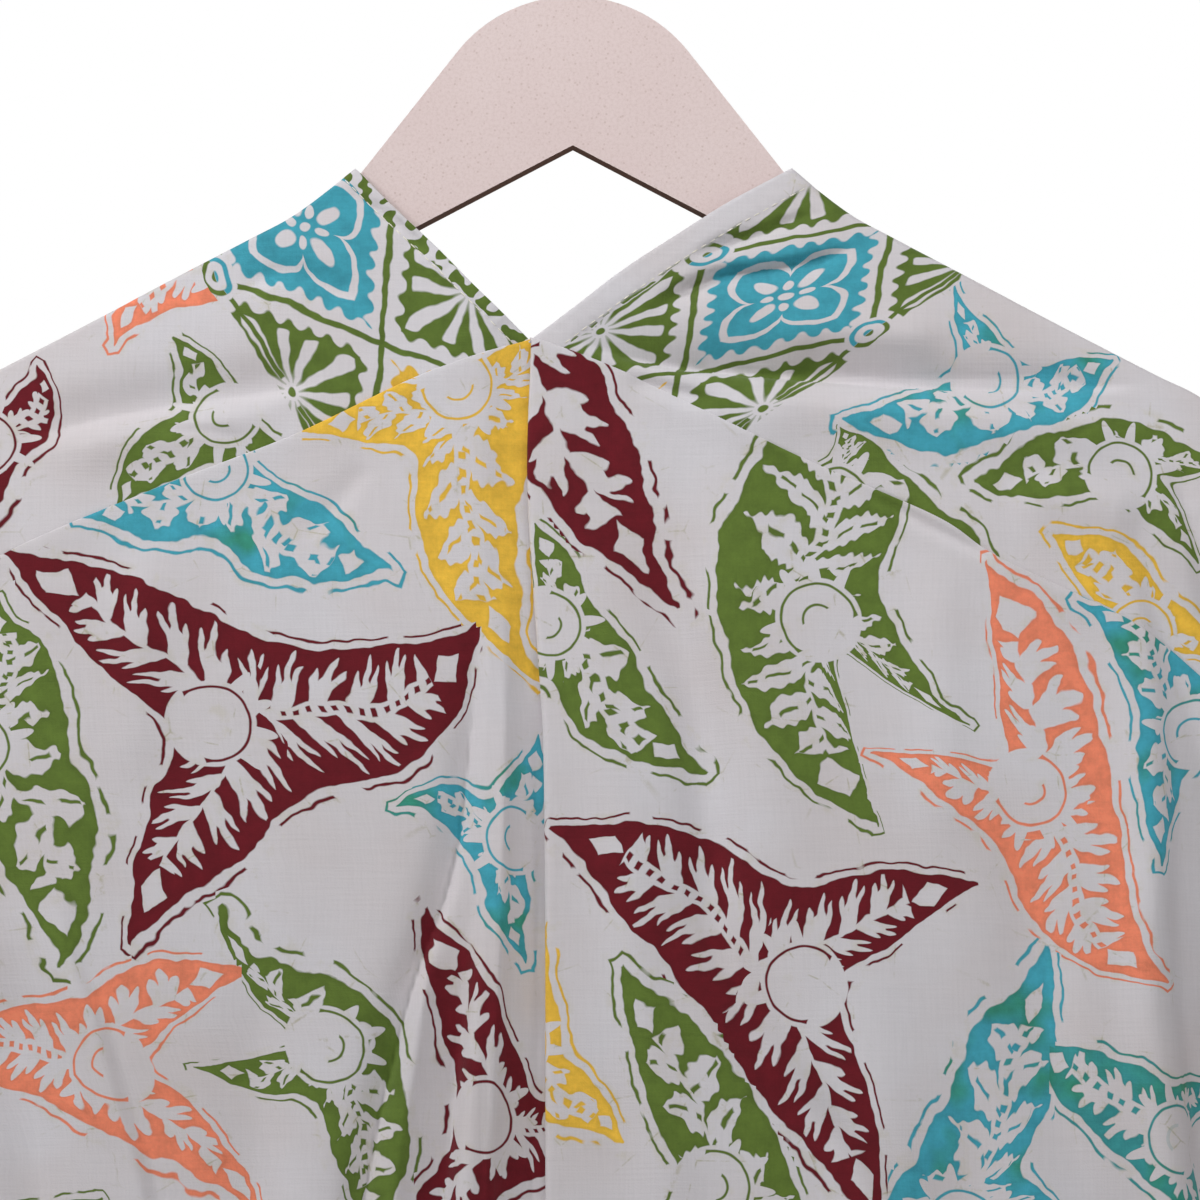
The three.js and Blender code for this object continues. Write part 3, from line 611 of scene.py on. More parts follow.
def makeYoke(side, name):
    # a band folded over the shoulder, with its neck edge turned under
    a = np.linspace(0, 1, panel["yokeAlong"] + 1)
    a = 0.82 * a + 0.18 * a**2
    front = -np.linspace(1, 0, int(panel["yokeDown"] * 0.52)) ** 0.93
    back = np.linspace(0, 1, int(panel["yokeDown"] * 0.48)) ** 0.93
    gridA, gridB = np.meshgrid(a, np.concatenate([front[:-1], back]))
    shoulder = np.array(along(shoulderLine, a))
    reachFront, reachBack = [np.hypot(*(shoulder - np.array(along(seamLines[seam], a))))
                             for seam in ("frontRight" if side > 0 else "frontLeft", "back")]
    under = panel["underSeam"] * smooth(gridA, 0, 0.08)
    stretch = 1 + under / np.where(gridB < 0, reachFront, reachBack)
    points, width = yokeSurface(side, gridA, gridB * stretch)
    facing = np.sign(points[..., 1])
    edge = turnUnder(points[:, 0], (-side, 0, 0), facing[:, 0], (2.6, 2.0, 1.4, 0.8))
    cuff = turnUnder(points[:, -1], (side * 0.5, 0, 0), facing[:, -1], sideTurns)
    points = np.concatenate([np.stack(edge, axis=1), points, np.stack(cuff, axis=1)], axis=1)
    # cloth coordinates: plain x and z in front, mirrored over the fold of the shoulder behind
    middle = len(front) - 1
    u, v = points[..., 0].copy(), points[..., 2].copy()
    over = np.arange(len(points))[:, None] > middle
    topX, topZ = u[middle], v[middle]
    dx, dz = u - topX, v - topZ
    wayX, wayZ = math.cos(shoulderSlope) * side, -math.sin(shoulderSlope)
    run = dx * wayX + dz * wayZ
    u = np.where(over, topX + 2 * run * wayX - dx, u)
    v = np.where(over, topZ + 2 * run * wayZ - dz, v)
    strip = np.pad(width / neckHem["right"], ((0, 0), (len(edge), len(cuff))), mode="edge")
    strip = strip + leftStripFrom * (side < 0)
    return clothMesh(name, points, u, v, {"lattice": latticePlace(side, u, v), "strip": (strip, strip)})


# the batik print: wings with three tips, stamped one by one

dyes = {"maroon": "#6C1420", "olive": "#647B33", "turquoise": "#47AABF", "teal": "#409C9F",
        "coral": "#F88F6E", "yellow": "#F2C246", "leafGreen": "#389068"}
leafKinds = {"maroon": 0.0, "olive": 0.6, "turquoise": 0.75, "teal": 0.3, "coral": 1.0, "yellow": 0.8}
wing = {
    # share of an arm's length, and half its width as a share of the length
    "outline": [(0, 0.20), (0.14, 0.212), (0.35, 0.205), (0.55, 0.172), (0.72, 0.118), (0.86, 0.058),
                (1, 0.006)],
    "border": 1.6, "lineAway": 2.9, "lineHalf": 0.46, "fold": 26.0,
    "hubAway": 18.0, "eye": 9.0, "eyeGrows": 4.5,
}
sprig = {
    # share of the way out from the stem, and width as a share of the widest
    "leaf": [(0, 0.35), (0.12, 0.9), (0.3, 1.0), (0.45, 0.7), (0.6, 0.2), (0.7, 0)],
    "finger": [(0, 0.7), (0.3, 0.92), (0.6, 1.0), (0.8, 0.86), (0.93, 0.5), (1, 0)],
    "pitch": 7.0, "slant": -0.8, "acrossSlant": 0.77, "room": 2.0, "clear": 1.7, "leafHalf": 2.9,
    "fingerHalf": 1.08, "fingerAway": 3.7, "sideShorter": 0.26, "sway": 1.5, "swayRate": 0.14,
    "stemHalf": 0.8, "firstWider": 1.6, "endsAt": 0.7, "markPitch": 2.3, "markHalf": 0.95, "strokePitch": 3.1,
    "ruffledKinds": (0.7, 0.22), "ruffledStretch": -0.3, "ruffledWider": 1.1, "ruffle": 0.4, "ruffleRate": 2.0,
    "lozenge": (0.78, 0.08), "lozengeSlope": 0.68,
}
armWidths = (1.16, 0.98, 0.98)
armBellies = (-0.40, 0.10, 0.0)

# place of the hub in cloth millimetres, dye, then angle and length of each arm;
# the round eye opens between the second arm and the third
stamps = {
    "frontBodyLeft": [
        (-120, -326, "maroon", (21, 99), (140, 94), (245, 85)),
        (-118, -236, "turquoise", (329, 72), (420, 22), (559, 49)),
        (-34, -206, "yellow", (284, 108), (397, 44), (558, 57)),
        (-199, -334, "olive", (84, 54), (161, 46), (283, 78)),
        (-20, -366, "turquoise", (167, 46), (277, 42), (434, 38)),
        (-93, -437, "olive", (283, 66), (487, 57), (548, 45)),
        (-163, -443, "coral", (175, 60), (311, 72), (392, 57)),
        (-32, -461, "maroon", (10, 44), (109, 74), (238, 66)),
        (-214, -508, "olive", (25, 46), (150, 40), (270, 60)),
    ],
    "frontBodyRight": [
        (-12, -180, "maroon", (190, 40), (297, 118), (420, 40)),
        (-6, -291, "olive", (315, 73), (453, 36), (560, 40)),
        (91, -290, "olive", (96, 118), (283, 73), (324, 63)),
        (162, -349, "coral", (304, 80), (460, 80), (527, 57)),
        (79, -416, "maroon", (148, 102), (285, 90), (389, 71)),
        (131, -497, "turquoise", (70, 100), (190, 50), (352, 46)),
        (207, -468, "teal", (147, 60), (290, 50), (390, 34)),
        (-22, -436, "yellow", (319, 50), (432, 44), (560, 30)),
        (46, -484, "olive", (-28, 57), (113, 81), (222, 52)),
        (222, -328, "turquoise", (133, 61), (252, 50), (380, 40)),
    ],
    "yokeLeft": [
        (-118, -158, "coral", (216, 54), (330, 28), (450, 40)),
        (-121, -216, "olive", (228, 54), (325, 44), (483, 34)),
        (-205, -226, "maroon", (60, 34), (170, 36), (264, 38)),
    ],
    "yokeRight": [
        (146, -202, "turquoise", (10, 44), (109, 37), (197, 54)),
        (191, -237, "olive", (6, 40), (184, 53), (311, 41)),
        (92, -247, "olive", (88, 26), (200, 40), (331, 72)),
        (197, -293, "yellow", (133, 46), (240, 30), (340, 32)),
    ],
    "backBody": [(-96, -352, "maroon", (28, 92), (150, 88), (262, 80))],
}


def stampArms(stamp):
    # the arms meet beside the eye, away from its open side; they keep their tips
    x, z, _, *arms = stamp
    opening = math.radians((arms[1][0] + arms[2][0]) / 2)
    size = sum(n for _, n in arms) / 300
    hub = (x - wing["hubAway"] * size * math.cos(opening), z - wing["hubAway"] * size * math.sin(opening))
    tips = [(x + n * math.cos(math.radians(turn)) - hub[0], z + n * math.sin(math.radians(turn)) - hub[1])
            for turn, n in arms]
    turns = [math.degrees(math.atan2(tip[1], tip[0])) for tip in tips]
    turns = [turns[0] + (turn - turns[0]) % 360 for turn in turns]
    lengths = [math.hypot(*tip) for tip in tips]
    return hub, turns, lengths, opening


def stampPlace(stamp, u, v):
    # places inside one stamp, straightened so that its arms lie a third of a turn apart,
    # and places round its eye, not straightened, with the open side at the left
    hub, turns, lengths, opening = stampArms(stamp)
    reach = sum(lengths) / 3
    knots = [0, turns[1] - turns[0], turns[2] - turns[0], 360]
    turn = np.mod(np.degrees(np.arctan2(v - hub[1], u - hub[0])) - turns[0], 360)
    even = np.interp(turn, knots, [0, 120, 240, 360])
    third = np.minimum(even // 120, 2).astype(int)
    lengths = np.array([*lengths, lengths[0]])
    blend = smooth(even - 120 * third, 0, 120)
    length = lengths[third] * (1 - blend) + lengths[third + 1] * blend
    r = np.hypot(u - hub[0], v - hub[1]) * reach / length
    share = np.minimum(r / reach, 1)
    swirl = 34 * math.sin(stamp[0] * 0.7 + stamp[1] * 0.3) * share * (1 - share)  # none at hub and tips
    angle = np.radians(even + swirl)
    du, dv, way = u - stamp[0], v - stamp[1], opening - math.pi
    eye = (du * math.cos(way) + dv * math.sin(way), dv * math.cos(way) - du * math.sin(way))
    return r * np.cos(angle), r * np.sin(angle), reach / 100, eye


def stampEdge(stamp, u, v):
    # how far a place lies outside a stamp, in millimetres
    p, q, size, _ = stampPlace(stamp, u, v)
    reach = 100 * size
    shares, widths = zip(*wing["outline"])
    nearest = np.full(np.shape(u), 1e9)
    for k in range(3):
        a = math.radians(120 * k)
        run, off = p * math.cos(a) + q * math.sin(a), q * math.cos(a) - p * math.sin(a)
        share = run / reach
        off = off - armBellies[k] * reach * np.maximum(share * (1 - share), 0)
        half = np.interp(share, shares, widths) * reach * armWidths[k]
        nearest = np.minimum(nearest, np.maximum(np.abs(off) - half, np.abs(run - reach / 2) - reach / 2))
    return nearest


fill = {
    "step": 34.0, "tries": 7, "clear": 5, "sizes": (0.92, 0.8, 0.62, 0.5), "farAway": 210,
    "order": ("maroon", "olive", "turquoise", "coral", "olive", "maroon", "yellow", "teal", "olive"),
}
extents = {  # lowest and highest x and z of the cloth that the print covers
    "frontBodyLeft": ((-330, -1180), (20, -190)),
    "frontBodyRight": ((-20, -1180), (330, -190)),
    "backBody": ((-330, -1180), (330, -190)),
    "yokeLeft": ((-300, -420), (-110, -20)),
    "yokeRight": ((120, -420), (300, -20)),
}


def isShown(x, z):
    # the upper front, where every stamp is listed one by one
    return -222 < x < 232 and -508 < z < -86 - 0.55 * abs(x)


def fillStamps(known, low, high, seed, inFront):
    # the printer's hand fills the rest of the cloth, keeping clear of stamps already there
    random = np.random.default_rng(seed)
    placed = list(known)
    shares = np.array([0.0, 0.35, 0.7, 1.0])

    def discs(stamp):
        (x, z), turns, lengths, _ = stampArms(stamp)
        return np.array([(x + s * n * math.cos(math.radians(a)), z + s * n * math.sin(math.radians(a)),
                          (0.24 - 0.2 * s) * n + 2) for a, n in zip(turns, lengths) for s in shares])

    taken = [discs(s) for s in placed]
    for size in fill["sizes"]:
        for z in np.arange(high[1], low[1], -0.9 * fill["step"]):
            for x in np.arange(low[0], high[0], fill["step"]):
                hub = (x + random.uniform(-9, 9), z + random.uniform(-9, 9))
                if inFront and isShown(*hub):
                    continue
                best = None
                for _ in range(fill["tries"]):
                    first = random.uniform(0, 360)
                    turns = (first, first + random.uniform(100, 138), first + random.uniform(222, 258))
                    arms = [(a, 96 * size * random.uniform(0.78, 1.08)) for a in turns]
                    stamp = (*hub, fill["order"][int(random.integers(len(fill["order"])))], *arms)
                    mine = discs(stamp)
                    room = 99.0
                    for other in taken:
                        if np.hypot(*(other[0, :2] - hub)) > fill["farAway"]:
                            continue
                        gaps = np.hypot(mine[:, None, 0] - other[:, 0], mine[:, None, 1] - other[:, 1])
                        room = min(room, (gaps - mine[:, None, 2] - other[:, 2]).min())
                    if best is None or room > best[0]:
                        best = (room, stamp, mine)
                if best[0] > fill["clear"]:
                    placed.append(best[1])
                    taken.append(best[2])
    return placed


def printCloth(piece, placed, seed):
    # every face takes the stamp it lies nearest to, and keeps its place inside that stamp
    mesh = piece.data
    flat = np.empty(len(mesh.loops) * 2)
    mesh.uv_layers["cloth"].data.foreach_get("uv", flat)
    corners = flat.reshape(-1, 4, 2)
    middle = corners.mean(axis=1)
    nearest = np.full(len(middle), 1e9)
    chosen = np.zeros(len(middle), int)
    for k, stamp in enumerate(placed):
        away = stampEdge(stamp, middle[:, 0], middle[:, 1])
        chosen = np.where(away < nearest, k, chosen)
        nearest = np.minimum(nearest, away)
    layers = {"stamp": np.zeros(corners.shape), "eye": np.zeros(corners.shape)}
    dye = np.ones(corners.shape[:2] + (4,))
    numbers = {name: np.zeros(corners.shape[:2]) for name in ("stampSize", "stampHand", "leafKind")}
    for k, stamp in enumerate(placed):
        mine = chosen == k
        p, q, size, eye = stampPlace(stamp, corners[mine][..., 0], corners[mine][..., 1])
        layers["stamp"][mine] = np.stack([p, q], axis=-1)
        layers["eye"][mine] = np.stack(eye, axis=-1)
        dye[mine] = toLinear(dyes[stamp[2]])[:3] + [float(stamp[2] in ("turquoise", "teal"))]
        numbers["stampSize"][mine] = size
        numbers["stampHand"][mine] = (k * 0.37 + seed * 0.11) % 1
        numbers["leafKind"][mine] = leafKinds[stamp[2]]
    for name, values in layers.items():
        mesh.uv_layers.new(name=name).data.foreach_set("uv", values.ravel())
    mesh.attributes.new("dye", "FLOAT_COLOR", "CORNER").data.foreach_set("color", dye.ravel())
    for name, values in numbers.items():
        mesh.attributes.new(name, "FLOAT", "CORNER").data.foreach_set("value", values.ravel())


# Drawings are worked out as distances in millimetres, so that edges stay crisp: above zero is inside.


def awayFrom(tree, value, middle):
    off = add(tree, "Math", [value, middle], operation="SUBTRACT")
    return add(tree, "Math", [off], operation="ABSOLUTE")


def band(tree, value, middle, half):
    # above zero where a value lies within half a width of its middle
    return add(tree, "Math", [half, awayFrom(tree, value, middle)], operation="SUBTRACT")


def shared(tree, *shapes):
    return reduce(lambda one, two: add(tree, "Math", [one, two], operation="MINIMUM"), shapes)


def joined(tree, *shapes):
    return reduce(lambda one, two: add(tree, "Math", [one, two], operation="MAXIMUM"), shapes)


def shapeCurve(profile, points):
    curve = profile.node.mapping.curves[0]
    while len(curve.points) < len(points):
        curve.points.new(0.5, 0.5)
    for point, place in zip(curve.points, points):
        point.location = place
    profile.node.mapping.update()
    return profile


def drawArm(tree, k, place, reach):
    # one arm: how far outside it a place lies, and the place along the arm, beside its middle line and
    # half as wide as the arm is there
    turn = -math.radians(120 * k)
    turned = add(tree, "VectorRotate", {"Vector": place, "Angle": turn}, rotation_type="Z_AXIS")
    parts = add(tree, "SeparateXYZ", [turned]).node
    run = parts.outputs[0]
    share = add(tree, "Math", [run, reach], operation="DIVIDE")
    left = add(tree, "Math", [1.0, share], operation="SUBTRACT")
    bulge = add(tree, "Math", [share, left], operation="MULTIPLY")
    bulge = add(tree, "Math", [bulge, 0.0], operation="MAXIMUM")
    bulge = add(tree, "Math", [bulge, reach], operation="MULTIPLY")
    off = add(tree, "Math", [bulge, -armBellies[k], parts.outputs[1]], operation="MULTIPLY_ADD")
    profile = shapeCurve(add(tree, "FloatCurve", {"Value": share}), wing["outline"])
    half = add(tree, "Math", [profile, reach], operation="MULTIPLY")
    half = add(tree, "Math", [half, armWidths[k]], operation="MULTIPLY")
    beside = add(tree, "Math", [off], operation="ABSOLUTE")
    beside = add(tree, "Math", [beside, half], operation="SUBTRACT")
    beyond = add(tree, "Math", [run, reach], operation="SUBTRACT")
    behind = add(tree, "Math", [-1.0, run], operation="MULTIPLY")
    return joined(tree, beside, beyond, behind), add(tree, "CombineXYZ", [run, off, half])


def drawSprig(tree, arm, which, reach, hand, kind):
    # the wax-white sprig inside an arm; above zero is dye
    parts = add(tree, "SeparateXYZ", [arm]).node
    run, off, half = parts.outputs
    share = add(tree, "Math", [run, reach], operation="DIVIDE")
    isFirst = add(tree, "Math", [which, 0.5], operation="LESS_THAN")
    # a wavy stem, widest in the first arm, with leaves slanting off it by turns to one side and the other
    rate = add(tree, "Math", [which, 6.0], operation="ADD")
    phase = add(tree, "Math", [which, 2.0], operation="MULTIPLY")
    phase = add(tree, "Math", [hand, rate, phase], operation="MULTIPLY_ADD")
    bend = add(tree, "Math", [run, sprig["swayRate"], phase], operation="MULTIPLY_ADD")
    wave = add(tree, "Math", [bend], operation="SINE")
    stemOff = add(tree, "Math", [wave, sprig["sway"], off], operation="MULTIPLY_ADD")
    fromStem = add(tree, "Math", [stemOff], operation="ABSOLUTE")
    onLeft = add(tree, "Math", [stemOff, 0.0], operation="GREATER_THAN")
    slanted = add(tree, "Math", [fromStem, sprig["slant"], run], operation="MULTIPLY_ADD")
    shifted = add(tree, "Math", [onLeft, sprig["pitch"], slanted], operation="MULTIPLY_ADD")
    toLeaf = add(tree, "Math", [shifted, sprig["pitch"]], operation="PINGPONG")
    toLeaf = add(tree, "Math", [toLeaf, sprig["acrossSlant"]], operation="MULTIPLY")
    room = add(tree, "Math", [half, sprig["room"]], operation="SUBTRACT")
    outShare = add(tree, "Math", [fromStem, room], operation="DIVIDE")
    ruffled = band(tree, kind, *sprig["ruffledKinds"])
    isRuffled = add(tree, "Math", [ruffled, 0.0], operation="GREATER_THAN")
    stretch = add(tree, "Math", [isRuffled, sprig["ruffledStretch"], 1.0], operation="MULTIPLY_ADD")
    leafShare = add(tree, "Math", [outShare, stretch], operation="MULTIPLY")
    leafHalf = [isRuffled, sprig["ruffledWider"], sprig["leafHalf"]]
    leafHalf = add(tree, "Math", leafHalf, operation="MULTIPLY_ADD")
    leaf = shapeCurve(add(tree, "FloatCurve", {"Value": leafShare}), sprig["leaf"])
    leaf = add(tree, "Math", [leaf, leafHalf], operation="MULTIPLY")
    leaf = add(tree, "Math", [leaf, toLeaf], operation="SUBTRACT")

    # each leaf parts into three fingers that spread towards the rim; the ruffled ones have none
    spread = add(tree, "Math", [outShare, 0.75, 0.42], operation="MULTIPLY_ADD")
    fingers = add(tree, "Math", [toLeaf, spread], operation="DIVIDE")
    between = sprig["fingerAway"] / 2
    toFinger = awayFrom(tree, awayFrom(tree, fingers, between), between)
    toFinger = add(tree, "Math", [toFinger, spread], operation="MULTIPLY")
    isSide = add(tree, "Math", [fingers, between], operation="GREATER_THAN")
    fingerShare = add(tree, "Math", [isSide, sprig["sideShorter"], outShare], operation="MULTIPLY_ADD")
    plump = add(tree, "Math", [kind, 0.4, sprig["fingerHalf"]], operation="MULTIPLY_ADD")
    finger = shapeCurve(add(tree, "FloatCurve", {"Value": fingerShare}), sprig["finger"])
    finger = add(tree, "Math", [finger, plump], operation="MULTIPLY")
    finger = add(tree, "Math", [finger, toFinger], operation="SUBTRACT")
    finger = add(tree, "Math", [isRuffled, -3.0, finger], operation="MULTIPLY_ADD")
    leaf = add(tree, "Math", [leaf, finger, 0.7], operation="SMOOTH_MAX")
    within = add(tree, "Math", [half, sprig["clear"]], operation="SUBTRACT")
    within = add(tree, "Math", [within, fromStem], operation="SUBTRACT")
    ruffle = add(tree, "Math", [fromStem, sprig["ruffleRate"], phase], operation="MULTIPLY_ADD")
    ruffle = add(tree, "Math", [ruffle], operation="SINE")
    ruffle = add(tree, "Math", [ruffle, isRuffled], operation="MULTIPLY")
    leaf = add(tree, "Math", [ruffle, sprig["ruffle"], shared(tree, leaf, within)], operation="MULTIPLY_ADD")
    stem = add(tree, "Math", [isFirst, sprig["firstWider"], sprig["stemHalf"]], operation="MULTIPLY_ADD")
    stem = add(tree, "Math", [stem, fromStem], operation="SUBTRACT")
    toTip = add(tree, "Math", [reach, sprig["endsAt"], -1.0], operation="MULTIPLY_ADD")
    toTip = add(tree, "Math", [toTip, run], operation="SUBTRACT")

    # a lozenge near the tip
    lozenge = band(tree, share, *sprig["lozenge"])
    lozenge = add(tree, "Math", [lozenge, reach], operation="MULTIPLY")
    lozenge = add(tree, "Math", [lozenge, sprig["lozengeSlope"]], operation="MULTIPLY")
    wide = add(tree, "Math", [off], operation="ABSOLUTE")
    lozenge = add(tree, "Math", [lozenge, wide], operation="SUBTRACT")
    white = joined(tree, shared(tree, joined(tree, leaf, stem), toTip), lozenge)

    # short strokes of dye inside the rounder leaves, and a row of short marks along the first arm's stem
    beat = add(tree, "Math", [fromStem, sprig["strokePitch"]], operation="PINGPONG")
    beat = add(tree, "Math", [1.9, beat], operation="SUBTRACT")
    thin = add(tree, "Math", [0.5, toLeaf], operation="SUBTRACT")
    inLeaf = add(tree, "Math", [room, 0.8], operation="MULTIPLY")
    inLeaf = add(tree, "Math", [inLeaf, fromStem], operation="SUBTRACT")
    onlyRuffled = add(tree, "Math", [ruffled, 20.0], operation="MULTIPLY")
    strokes = shared(tree, beat, thin, inLeaf, onlyRuffled, toTip)
    beat = add(tree, "Math", [run, sprig["markPitch"]], operation="PINGPONG")
    mark = add(tree, "Math", [sprig["markHalf"], joined(tree, beat, fromStem)], operation="SUBTRACT")
    fromHub = add(tree, "Math", [run, 6.0], operation="SUBTRACT")
    onlyFirst = add(tree, "Math", [isFirst, 40.0, -20.0], operation="MULTIPLY_ADD")
    bare = add(tree, "Math", [white, -1.0], operation="MULTIPLY")
    return joined(tree, bare, strokes, shared(tree, mark, toTip, fromHub, onlyFirst))


def drawEye(tree, eye, size, hand, kind):
    # the bare disc of the eye with rays on one side, and its thin ring with a small arc inside
    parts = add(tree, "SeparateXYZ", [eye]).node
    eyeX, eyeY = parts.outputs[:2]
    away = add(tree, "Math", [eyeX, eyeX], operation="MULTIPLY")
    away = add(tree, "Math", [eyeY, eyeY, away], operation="MULTIPLY_ADD")
    away = add(tree, "Math", [away], operation="SQRT")
    turn = add(tree, "Math", [eyeY, eyeX], operation="ARCTAN2")
    radius = add(tree, "Math", [size, wing["eyeGrows"], wing["eye"]], operation="MULTIPLY_ADD")
    rays = add(tree, "Math", [turn, 11.0, hand], operation="MULTIPLY_ADD")
    rays = add(tree, "Math", [rays], operation="SINE")
    rays = add(tree, "Math", [rays, 0.0], operation="MAXIMUM")
    forward = add(tree, "MapRange", {"Value": eyeX, "From Max": 9.0, "To Max": 7.0})
    rays = add(tree, "Math", [rays, forward], operation="MULTIPLY")
    disc = add(tree, "Math", [away, radius], operation="SUBTRACT")
    disc = add(tree, "Math", [disc, 2.0], operation="SUBTRACT")
    disc = add(tree, "Math", [disc, rays], operation="SUBTRACT")
    hook = add(tree, "MapRange", {"Value": eyeX, "From Min": -6.5, "From Max": -3.5,
                                  "To Min": 1.0, "To Max": 0.45})
    opening = add(tree, "Math", [radius, 0.42, eyeX], operation="MULTIPLY_ADD")
    ring = shared(tree, band(tree, away, radius, hook), opening)
    arc = add(tree, "Math", [radius, -0.42, away], operation="MULTIPLY_ADD")
    arcSide = add(tree, "Math", [eyeX, 2.0], operation="SUBTRACT")
    hasArc = add(tree, "Math", [kind, 0.4], operation="SUBTRACT")
    arc = shared(tree, band(tree, arc, 0.0, 0.42), arcSide, hasArc)
    return disc, joined(tree, ring, arc)


def drawWing(tree, place, eye, size, hand, kind, brokenness):
    # where the dye of a three-tipped wing lies, and how far outside the wing a place is
    reach = add(tree, "Math", [size, 100.0], operation="MULTIPLY")
    edges, arms = zip(*[drawArm(tree, k, place, reach) for k in range(3)])
    softness = add(tree, "Math", [size, wing["fold"]], operation="MULTIPLY")
    union = add(tree, "Math", [edges[0], edges[1], softness], operation="SMOOTH_MIN")
    union = add(tree, "Math", [union, edges[2], softness], operation="SMOOTH_MIN")
    # the sprig is drawn once, in the arm that a place lies deepest in
    deepest, arm, which = edges[0], arms[0], 0.0
    for k in (1, 2):
        isDeeper = add(tree, "Math", [edges[k], deepest], operation="LESS_THAN")
        deepest = shared(tree, edges[k], deepest)
        arm = add(tree, "Mix", {0: isDeeper, 4: arm, 5: arms[k]}, data_type="VECTOR").node.outputs[1]
        which = add(tree, "Mix", {0: isDeeper, 2: which, 3: float(k)})
    inner = drawSprig(tree, arm, which, reach, hand, kind)
    rim = add(tree, "Math", [union, wing["border"]], operation="ADD")
    inside = add(tree, "Math", [union, -1.0], operation="MULTIPLY")
    ink = shared(tree, joined(tree, inner, rim), inside)
    # a thin broken line follows the wing outside
    line = shared(tree, band(tree, union, wing["lineAway"], wing["lineHalf"]), brokenness)
    disc, ring = drawEye(tree, eye, size, hand, kind)
    return joined(tree, shared(tree, joined(tree, ink, line), disc), ring), union


tile = {"size": 48.0, "teeth": 16 * math.pi, "toothDepth": -0.6, "margin": 4.3, "fanMargin": 4.8,
        "line": 0.9, "ring": 4.2, "ringHalf": 0.75, "ringDot": 1.2}
petals = (("COSINE", 8.0, 4.0, 2.1), ("SINE", 4.9, 2.0, 1.2))  # which four, distance, half length and width


def fromCentre(tree, across, down, scale):
    away = add(tree, "Math", [across, across], operation="MULTIPLY")
    away = add(tree, "Math", [down, down, away], operation="MULTIPLY_ADD")
    away = add(tree, "Math", [away], operation="SQRT")
    return add(tree, "Math", [away, scale], operation="MULTIPLY")


def drawFlower(tree, away, turn):
    # a pointed four-lobed line, four long petals and four short ones, and a middle
    lobe = add(tree, "Math", [turn, 4 / math.pi, 1.0], operation="MULTIPLY_ADD")
    lobe = add(tree, "Math", [lobe, 1.0], operation="PINGPONG")
    lobe = add(tree, "Math", [1.0, lobe], operation="SUBTRACT")
    lobe = add(tree, "Math", [lobe, 0.62], operation="POWER")
    ogee = add(tree, "Math", [lobe, 10.8, 9.2], operation="MULTIPLY_ADD")
    shapes = [band(tree, ogee, away, 1.15)]
    double = add(tree, "Math", [turn, 2.0], operation="MULTIPLY")
    for trig, centre, halfLong, halfWide in petals:
        lean = add(tree, "Math", [double], operation=trig)
        lean = add(tree, "Math", [lean], operation="ABSOLUTE")
        aside = add(tree, "Math", [lean, away], operation="MULTIPLY")
        aside = add(tree, "Math", [aside, 0.5 / halfWide], operation="MULTIPLY")
        length = add(tree, "Math", [away, centre], operation="SUBTRACT")
        length = add(tree, "Math", [length, 1 / halfLong], operation="MULTIPLY")
        oval = add(tree, "Math", [aside, aside], operation="MULTIPLY")
        oval = add(tree, "Math", [length, length, oval], operation="MULTIPLY_ADD")
        shapes.append(add(tree, "Math", [1.0, oval], operation="SUBTRACT"))
    shapes.append(add(tree, "Math", [1.6, away], operation="SUBTRACT"))
    return joined(tree, *shapes)


def drawPalmette(tree, away, turn, toEdge, serrated, across):
    # white fingers spread from a hub on the border's edge, which a line follows
    spokes = add(tree, "Math", [turn, 6.0, 6 * math.pi / 4], operation="MULTIPLY_ADD")
    spokes = add(tree, "Math", [spokes], operation="SINE")
    spokes = add(tree, "Math", [spokes], operation="ABSOLUTE")
    aside = add(tree, "Math", [spokes, away], operation="MULTIPLY")
    aside = add(tree, "Math", [aside, 1 / 6], operation="MULTIPLY")
    finger = add(tree, "Math", [away, 0.092, 0.25], operation="MULTIPLY_ADD")
    finger = add(tree, "Math", [finger, aside], operation="SUBTRACT")
    fingerEnd = add(tree, "Math", [toEdge, tile["fanMargin"] + 2.6], operation="SUBTRACT")
    finger = add(tree, "Math", [finger, fingerEnd, 1.6], operation="SMOOTH_MIN")
    hub = add(tree, "Math", [2.6, away], operation="SUBTRACT")
    bare = add(tree, "Math", [joined(tree, finger, hub), -1.0], operation="MULTIPLY")
    fan = add(tree, "Math", [serrated, tile["fanMargin"]], operation="SUBTRACT")
    seed = add(tree, "Math", [1.3, away], operation="SUBTRACT")
    borderLine = add(tree, "Math", [awayFrom(tree, across, 1.0), -34.0, 0.8], operation="MULTIPLY_ADD")
    beside = add(tree, "Math", [away, 4.0], operation="SUBTRACT")
    return joined(tree, shared(tree, fan, bare), seed, shared(tree, borderLine, beside))


